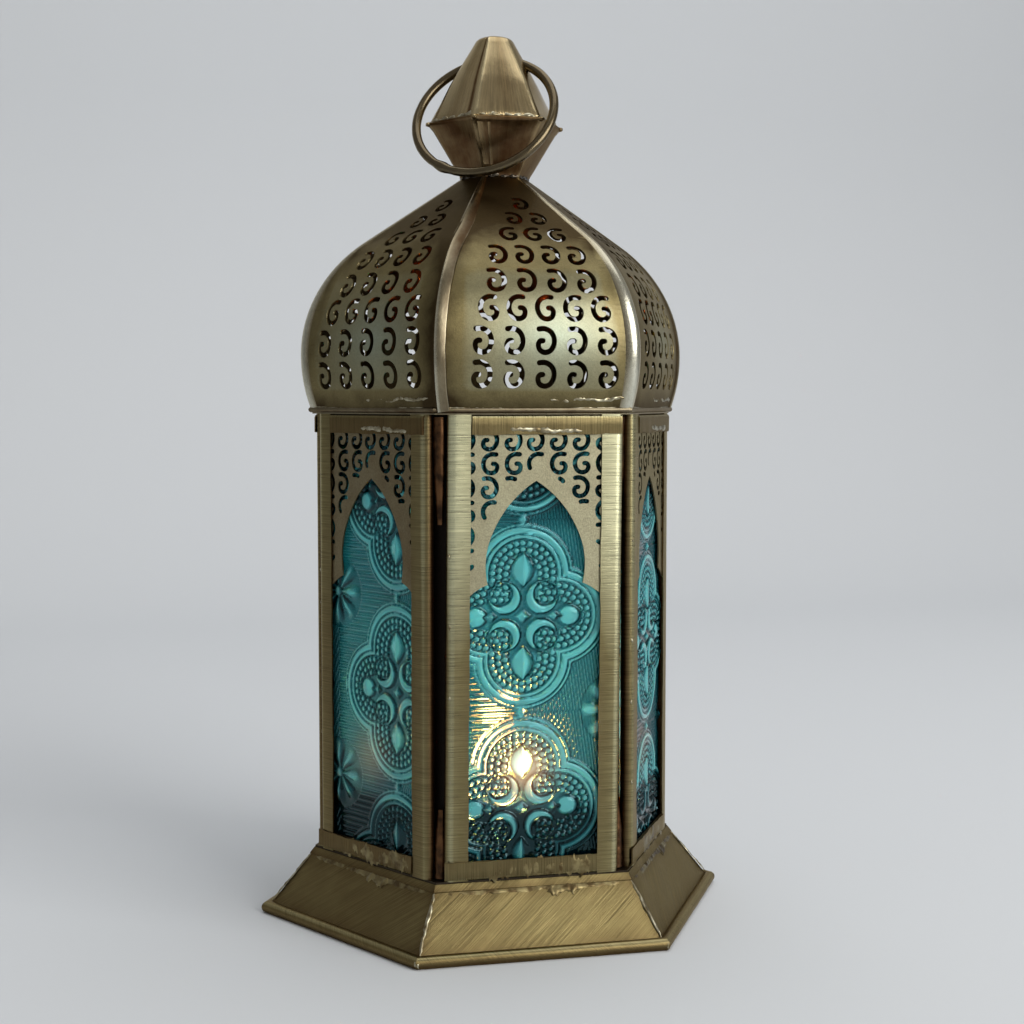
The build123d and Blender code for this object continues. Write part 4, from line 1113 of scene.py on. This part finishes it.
def turnedShell(profile, roundness, stain, seam=None):
    # a six-sided sheet cone; roundness runs from foot to head
    shape, count, fine = Shape(), finial["steps"], []
    low, high = profile[0][1], profile[-1][1]
    for (r0, z0), (r1, z1) in zip(profile, profile[1:]):
        pieces = max(1, int(abs(z1 - z0) / finial["fine"]))
        fine += [(r0 + (r1 - r0) * k / pieces, z0 + (z1 - z0) * k / pieces) for k in range(pieces)]
    azimuths = [360 * step / count for step in range(count)]
    rings, inner = [], []
    for reach, z in fine + [profile[-1]]:
        soft = roundness[0] + (roundness[1] - roundness[0]) * ((z - low) / (high - low))
        ring, hollow = [], []
        for azimuth in azimuths:
            facet = reach * cos30 / cos(radians((azimuth % 60) - 30))
            radius = facet * (1 - soft) + reach * finial["round"] * soft
            if seam is not None:
                radius += finial["lap"] * max(0, 1 - (azimuth - seam + 6) % 360 / finial["lapTurn"])
            ring.append(onCorner(azimuth, radius, 0, z))
            hollow.append(onCorner(azimuth, max(0.5, radius - finial["sheet"]), 0, z - 0.2))
        rings.append(ring)
        inner.append(hollow)
    shade = []
    for azimuth in azimuths:
        # bright corners, darker facets and a dark line at the seam
        nearCorner = abs((azimuth + 30) % 60 - 30) / 30
        dark = seam is not None and 2 < (azimuth - seam + 12) % 360 < 6
        shade.append(stain - 0.4 * max(0, 1 - nearCorner / 0.14) + 0.25 * max(0, nearCorner - 0.5)
            + (1.0 if dark else 0.0))
    shape.loft(rings + inner[::-1], shade, capped=False)
    shape.places = [(at % count * 1.2, z, 0.0) for at, (x, y, z) in enumerate(shape.points)]
    last = (len(rings) * 2 - 1) * count
    shape.faces += [(last + k, last + (k + 1) % count, (k + 1) % count, k) for k in range(count)]
    return shape


upper = turnedShell(finial["upper"], (0.06, 0.92), -0.1, finial["seam"])
upper.piece("finial_upper_cone", "finialBrass", "lantern", "dome_brass", ["finial_upper"], 50.0)
plug = Shape()
plug.loft([[onCorner(360 * k / finial["plugSteps"], radius, 0, z) for k in range(finial["plugSteps"])]
        for radius, z in finial["plug"]], 0.2)
plug.piece("finial_crown_plug", "finialBrass", "lantern", "dome_brass", sharp=50)
lower = turnedShell(finial["lower"], (0.25, 0.05), 0.62)
lower.piece("finial_lower_cone", "finialBrass", "lantern", "dome_brass", ["finial_lower"], 50.0)

# tabs at the lip's corners, and lapped strips down the lower cone's front facet as offset and width
# the tabs are lighter on top and darker underneath: painted light and shade
tab = dict(steps=8, size=1.05, reach=21.9, length=2.2, z=269.9,
    patina=[0.1, -0.3, -0.4, -0.3, 0.1, 0.3, 0.4, 0.5, 0.5, 0.5, 0.4, 0.3])
laps = dict(strips=[(-9.4, 2.0), (-6.4, 1.0)], steps=12, foot=255.4, height=13.0, sunk=-0.2, proud=0.28,
    levels=[255.6, 262.2, 268.6], reaches=[14.4, 18.4, 22.5], patina=[0.9, 0.25, 0.55, 0.9])
# width, height, first seed
finialSolder = dict(lip=(1.5, 0.6, 800), neck=(1.8, 0.6, 830))
trim, tinned, wet = Shape(), Shape(), Shape()
for azimuth in range(0, 360, 60):
    rings = []
    for step in range(tab["steps"] + 1):
        share = step / tab["steps"]
        size = tab["size"] * sqrt(max(0.0, 1 - 0.7 * share ** 3)) + 0.05
        rings.append([onCorner(azimuth, tab["reach"] + tab["length"] * step / tab["steps"], size * cos(turn),
                    tab["z"] + 0.8 * size * sin(turn)) for turn in turns(len(tab["patina"]))])
    trim.loft(rings, tab["patina"])
for offset, width in laps["strips"]:
    rings, half = [], width / 2
    for step in range(laps["steps"] + 1):
        z = laps["foot"] + laps["height"] * step / laps["steps"]
        reach = np.interp(z, laps["levels"], laps["reaches"]) * cos30
        u = offset * (0.6 + 0.4 * step / laps["steps"])
        low, high = reach + laps["sunk"], reach + laps["proud"]
        section = [(-half, low), (-half, high), (half, high), (half, low)]
        rings.append([onFace(0, u + side, out, z) for side, out in section])
    trim.loft(rings, laps["patina"])
trim.piece("finial_trim", "finialBrass", "lantern", "dome_brass")
for face in range(6):
    path = [onFace(face, -10.6 + 21.2 * at / 34, 19.45, 270.9 + 0.25 * sin(at * 0.9 + face))
        for at in range(35)]
    solderRun(tinned, path, finialSolder["lip"], face, onFace(face, 0, 1, 0.4), 0.4)
    path = [onFace(face, -6.0 + 12.0 * at / 20, 10.6, 252.2 + 0.3 * sin(at + face)) for at in range(21)]
    solderRun(wet, path, finialSolder["neck"], face, onFace(face, 0, 1, 0.3))
tinned.solder("finial_lip_solder", "brightSolder")
wet.solder("finial_neck_solder", "wetSolder")

ringWire = dict(radius=24.1, wire=1.55, pivot=290.7, halfChord=9.96, lean=31.5, axis=-30,
    steps=120, sides=16, joint=118.0, swell=0.22, pinch=0.10, wave=0.012)


def carryingRing():
    shape, uneven, rings = Shape(), wander(900, 5, 40.0), []
    drop = sqrt(ringWire["radius"] ** 2 - ringWire["halfChord"] ** 2)
    lean, axis = radians(ringWire["lean"]), radians(ringWire["axis"])
    across = Vector((cos(axis), sin(axis), 0))
    down = Vector((-0.5, -cos30, 0)) * sin(lean) - Vector((0, 0, cos(lean)))
    normal = across.cross(down)
    centre = Vector((0, 0, ringWire["pivot"])) + down * drop
    for angle in turns(ringWire["steps"]):
        # the wire's ends meet in a swollen joint
        away = abs((degrees(angle) - ringWire["joint"] + 180) % 360 - 180)
        swell = ringWire["swell"] * exp(-(away / 4.5) ** 2)
        wire = ringWire["wire"] * (1 + swell - ringWire["pinch"] * exp(-((away - 9) / 3) ** 2))
        wire *= 1 + ringWire["wave"] * uneven(angle * 24)
        radial = across * cos(angle) + down * sin(angle)
        rings.append([tuple(centre + radial * (ringWire["radius"] + wire * cos(turn))
                    + normal * (wire * sin(turn))) for turn in turns(ringWire["sides"])])
    shape.loft(rings, closedPath=True)
    return shape


carryingRing().piece("carrying_ring_wire", "ringBrass", "ring", "frame_brass", ["carrying_ring"])
print("finial and ring made")

# Corners: brown solder at the top and foot of each, and a dark sheet behind it as painted shade in the gap
corners = dict(azimuths=[120, 180, 240, 300], runs=[(170.6, 136.5), (23.0, 45.0)], steps=24, sides=14,
    sunk=0.4, deep=1.7, wide=2.05, wave=0.12, shadeDark=0.9,
    trough=[(56.3, -3.7), (56.9, -1.8), (56.9, 1.8), (56.3, 3.7), (55.9, 3.7), (56.5, 1.8), (56.5, -1.8),
        (55.9, -3.7)])
fillets, shadeSheets = Shape(), Shape()
for azimuth in corners["azimuths"]:
    for start, end in corners["runs"]:
        rough, rings, middle = wander(azimuth + start, 6, 16.0), [], body["postReach"] - corners["sunk"]
        for step in range(corners["steps"] + 1):
            share = step / corners["steps"]
            z = start + (end - start) * share
            size = (1 - share ** 2.5) * (1 + corners["wave"] * rough(z)) + 0.04
            wide = corners["wide"] * (0.35 + 0.65 * size)
            rings.append([onCorner(azimuth, middle + corners["deep"] * size * cos(turn), wide * sin(turn), z)
                    for turn in turns(corners["sides"])])
        fillets.loft(rings)
    shadeSheets.loft([[onCorner(azimuth, reach, side, z) for reach, side in corners["trough"]]
            for z in (body["floorTop"], body["frameTop"])], corners["shadeDark"])
fillets.piece("corner_solder_runs", "brownSolder", "lantern", "solder", ["corner_solder"], 60.0)
shadeSheets.piece("corner_shade_sheets", "patinaAndShadeBrass", "lantern", "frame_brass")

# Hinge: x of its axis, and the post that the leaves are soldered to
hinge = dict(x=60.85, post=(59.35, 4.30), barrel=1.75, steps=20, open=28, sweep=304, leafHalf=0.6,
    bevel=0.3, bevelSize=0.93, tone=0.1, lower=(23.1, 69.7), door=(73.3, 94.4),
    upper=(121.6, 167.2), pin=0.8, pinTip=0.6, pinSides=16)


def knuckle(low, high, side):
    # a rolled barrel with its leaf soldered on a post
    shape, section = Shape(low), []
    away = hinge["post"][0] - hinge["x"]
    towards = atan2(side * hinge["post"][1], away)
    reach = hypot(away, hinge["post"][1]) - body["postRadius"]
    for step in range(hinge["steps"]):
        turn = towards + radians(hinge["open"]) + radians(hinge["sweep"]) * step / (hinge["steps"] - 1)
        section.append((hinge["barrel"] * cos(turn), hinge["barrel"] * sin(turn)))
    for aside in (-hinge["leafHalf"], hinge["leafHalf"]):
        section.append((reach * cos(towards) - aside * sin(towards),
                reach * sin(towards) + aside * cos(towards)))
    bevel, small = hinge["bevel"], hinge["bevelSize"]
    levels = [(low, small), (low + bevel, 1.0), (high - bevel, 1.0), (high, small)]
    rings = [[(hinge["x"] + x * size, y * size, z) for x, y in section] for z, size in levels]
    shape.loft(rings, hinge["tone"])
    return shape


for word, side, rides in (("lower", -1, "lantern"), ("door", 1, "door"), ("upper", -1, "lantern")):
    knuckle(*hinge[word], side).piece(f"hinge_barrel_{word}", "ringBrass", rides, "frame_brass",
        [f"hinge_knuckle_{word}"])
pin, low, high, bevel = Shape(), hinge["lower"][0], hinge["upper"][1], hinge["bevel"]
pin.loft([[(hinge["x"] + radius * cos(turn), radius * sin(turn), z) for turn in turns(hinge["pinSides"])]
        for radius, z in ((hinge["pinTip"], low), (hinge["pin"], low + bevel), (hinge["pin"], high - bevel),
            (hinge["pinTip"], high))])
pin.piece("hinge_pin_wire", "pinSteel", "lantern", "pin_steel", ["hinge_pin"])

# Latch: a turn button on a rivet
latch = dict(azimuth=60, z=97.0, back=61.9, sheet=0.9, length=14.0, width=3.6, foot=0.42, arc=12,
    headBack=63.1, buttonTone=-0.1, rivetTone=-0.3, rivetSides=20,
    # radius and reach past the back of the rivet's head
    head=[(0.9, 0), (1.65, 0), (1.7, 0.2), (1.3, 0.55), (0.5, 0.7)], shank=(0.9, 58.0))


def onLatch(reach, x, y):
    return onCorner(latch["azimuth"], reach, x, latch["z"] + y)


button, rivet, outline, width = Shape(), Shape(), [], latch["width"]
ends = [(width / 2, 0, 0), (width * latch["foot"], width - latch["length"], pi)]
for radius, hang, start in ends:
    for k in range(latch["arc"] + 1):
        turn = start + pi * k / latch["arc"]
        outline.append((radius * cos(turn), hang + radius * sin(turn)))
button.loft([[onLatch(latch["back"] + depth, x * size, y * size) for x, y in outline]
        for depth, size in ((0, 0.95), (0.15, 1.0), (latch["sheet"] - 0.2, 1.0), (latch["sheet"], 0.93))],
    latch["buttonTone"])
button.piece("latch_turn_button", "ribBrass", "latch", "frame_brass", ["latch_button"])
section = [latch["shank"]] + [(radius, latch["headBack"] + past) for radius, past in latch["head"]]
rivet.loft([[onLatch(reach, radius * cos(turn), radius * sin(turn)) for turn in turns(latch["rivetSides"])]
        for radius, reach in section], latch["rivetTone"])
rivet.piece("latch_rivet", "ribBrass", "lantern", "frame_brass", ["latch_stud"])
print("hinge and latch made")

# Candle
candle = dict(foot=22.7, radius=19.2, steps=144, flutes=36, fluteDepth=0.22,
    # inset and height of the cup's section, reach and level of the wax's
    cup=[(4.0, 0.0), (0.6, 0.0), (0.15, 0.5), (0.0, 1.2), (0.0, 13.6), (0.0, 14.3), (0.0, 14.8),
        (0.35, 15.0), (0.6, 14.7), (0.6, 1.2), (4.0, 0.6)],
    wax=[(18.2, 23.4), (18.4, 33.6), (18.2, 34.5), (17.6, 34.3), (13.0, 33.8), (7.0, 33.4), (2.5, 33.5),
        (1.0, 33.9), (0.2, 34.0)], waxSteps=64, ripple=0.015,
    wickSteps=10, wickRadius=0.55, wickFoot=33.4, wickHeight=9.0, wickBend=(0.9, 0.3),
    # foot, tip and greatest radius
    flames={"flameCore": (41.0, 64.0, 4.8), "flameMantle": (39.5, 72.0, 8.0)}, flameSteps=20,
    flameSides=24, sway=0.8)
cup, wax, wick, steps = Shape(), Shape(), Shape(), candle["steps"]
rings = []
for inset, z in candle["cup"]:
    flute = candle["fluteDepth"] if 1.0 < z < 14.0 else 0.0
    ring = []
    for k in range(steps):
        deep = flute * (0.5 + 0.5 * sin(candle["flutes"] * 2 * pi * k / steps))
        ring.append(onCorner(360 * k / steps, candle["radius"] - inset - deep, 0, candle["foot"] + z))
    rings.append(ring)
cup.loft(rings)
cup.piece("tea_light_foil", "cupFoil", "tea_light", "cup_aluminium", ["tea_light_cup"])
rings, steps = [], candle["waxSteps"]
for reach, z in candle["wax"]:
    ripple = candle["ripple"] if reach < 15 else 0.0
    rings.append([onCorner(360 * k / steps, reach * (1 + ripple * sin(5 * 2 * pi * k / steps)), 0, z)
            for k in range(steps)])
wax.loft(rings)
wax.piece("tea_light_candle", "candleWax", "tea_light", "wax", ["tea_light_wax"])
rings, steps, radius = [], candle["wickSteps"], candle["wickRadius"]
for share in [step / steps for step in range(steps + 1)]:
    # the wick leans over and is twisted
    x, y, z = candle["wickBend"][0] * share ** 2, candle["wickBend"][1] * share, candle["wickFoot"]
    rings.append([(x + radius * cos(turn), y + radius * sin(turn), z + candle["wickHeight"] * share)
            for turn in [2 * pi * (k / 10 + share * 0.4) for k in range(10)]])
wick.loft(rings)
wick.piece("tea_light_cotton", "charredWick", "tea_light", "wick", ["tea_light_wick"])
for name, (foot, tip, widest) in candle["flames"].items():
    shape, rings, steps = Shape(), [], candle["flameSteps"]
    for share in [step / steps for step in range(steps + 1)]:
        radius = widest * (sin(pi * share ** 0.62) ** 0.9 if 0 < share < 1 else 0) + 0.03
        rings.append([(candle["sway"] * sin(share * 2) + radius * cos(turn), radius * sin(turn),
                    foot + (tip - foot) * share) for turn in turns(candle["flameSides"])])
    shape.loft(rings)
    shape.piece("tea_light_" + name, name, "tea_light")
print("candle made")

# CAD pieces that keep their own shape
for node, finish in (("latch_lug", "ribBrass"), ("floor_plate", "patinaAndShadeBrass"), ("dome_rim", "ribBrass")):
    frame["nodes"][node].data.materials.clear()
    frame["nodes"][node].data.materials.append(finishes[finish])

# Stage, light and camera
stage = dict(floor=(0.665, 0.69, 0.715, 1), rough=0.85, front=-6.0, bend=0.75, curve=0.5, steps=12,
    wall=2.0, wide=6.0, world=(0.67, 0.655, 0.635, 1), worldStrength=0.50)
profile = [(stage["front"], 0.0), (0.0, 0.0), (stage["bend"], 0.0)]
for step in range(1, stage["steps"] + 1):
    turn = pi / 2 * step / stage["steps"]
    profile.append((stage["bend"] + stage["curve"] * sin(turn), stage["curve"] * (1 - cos(turn))))
profile.append((stage["bend"] + stage["curve"], stage["wall"]))
mesh = bpy.data.meshes.new("studio_sweep")
mesh.from_pydata([(side * stage["wide"], y, z) for y, z in profile for side in (-1, 1)], [],
    [(2 * k, 2 * k + 1, 2 * k + 3, 2 * k + 2) for k in range(len(profile) - 1)])
mesh.shade_smooth()
mesh.materials.append(Finish("studioSweep").shade(Base_Color=stage["floor"], Roughness=stage["rough"]))
sweep = bpy.data.objects.new("studio_sweep", mesh)
bpy.context.scene.collection.objects.link(sweep)
sweep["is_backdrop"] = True

world = bpy.data.worlds.new("studio")
bpy.context.scene.world = world
world.use_nodes = True
sky = world.node_tree.nodes["Background"].inputs
sky["Color"].default_value = stage["world"]
sky["Strength"].default_value = stage["worldStrength"]


def placed(name, data, place, ahead=None):
    made = bpy.data.objects.new(name, data)
    made.location = place
    if ahead:
        made.rotation_mode = "QUATERNION"
        made.rotation_quaternion = ahead.to_track_quat("-Z", "Y")
    bpy.context.scene.collection.objects.link(made)
    return made


lamps = [
    # name, place, aim, width, height, spread in degrees, watts, colour
    ("window", (1.05, -1.35, 0.84), (0, 0, 0.16), 1.3, 1.15, 120, 12.0, (1.0, 0.98, 0.95)),
    ("overhead", (0.3, 0.2, 1.9), (0.1, 0.2, 0.1), 1.6, 1.6, 180, 13.0, (0.97, 0.98, 1.0)),
    ]
for name, place, aim, width, height, spread, watts, colour in lamps:
    data = bpy.data.lights.new(name, "AREA")
    data.shape = "RECTANGLE"
    data.size, data.size_y, data.energy, data.color = width, height, watts, colour
    data.spread = radians(spread)
    placed(name, data, place, Vector(aim) - Vector(place))
candleLamp = dict(place=(0.0, 0.0, 0.055), watts=0.16, colour=(1.0, 0.42, 0.13), size=0.004)
glow = bpy.data.lights.new("candleGlow", "POINT")
glow.energy, glow.color = candleLamp["watts"], candleLamp["colour"]
glow.shadow_soft_size = candleLamp["size"]
placed("candleGlow", glow, candleLamp["place"]).parent = frame["bodies"]["tea_light"]

view = dict(place=(-0.1293, -0.5733, 0.1756), ahead=(0.2294, 0.9711, -0.0657), lens=59.14, sensor=36.0,
    clip=(0.01, 50.0))
lens = bpy.data.cameras.new("camera")
lens.lens, lens.sensor_width = view["lens"], view["sensor"]
lens.clip_start, lens.clip_end = view["clip"]
bpy.context.scene.camera = placed("camera", lens, view["place"], Vector(view["ahead"]))
bpy.context.scene.view_settings.view_transform = "Standard"

low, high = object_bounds()
print("scene made")
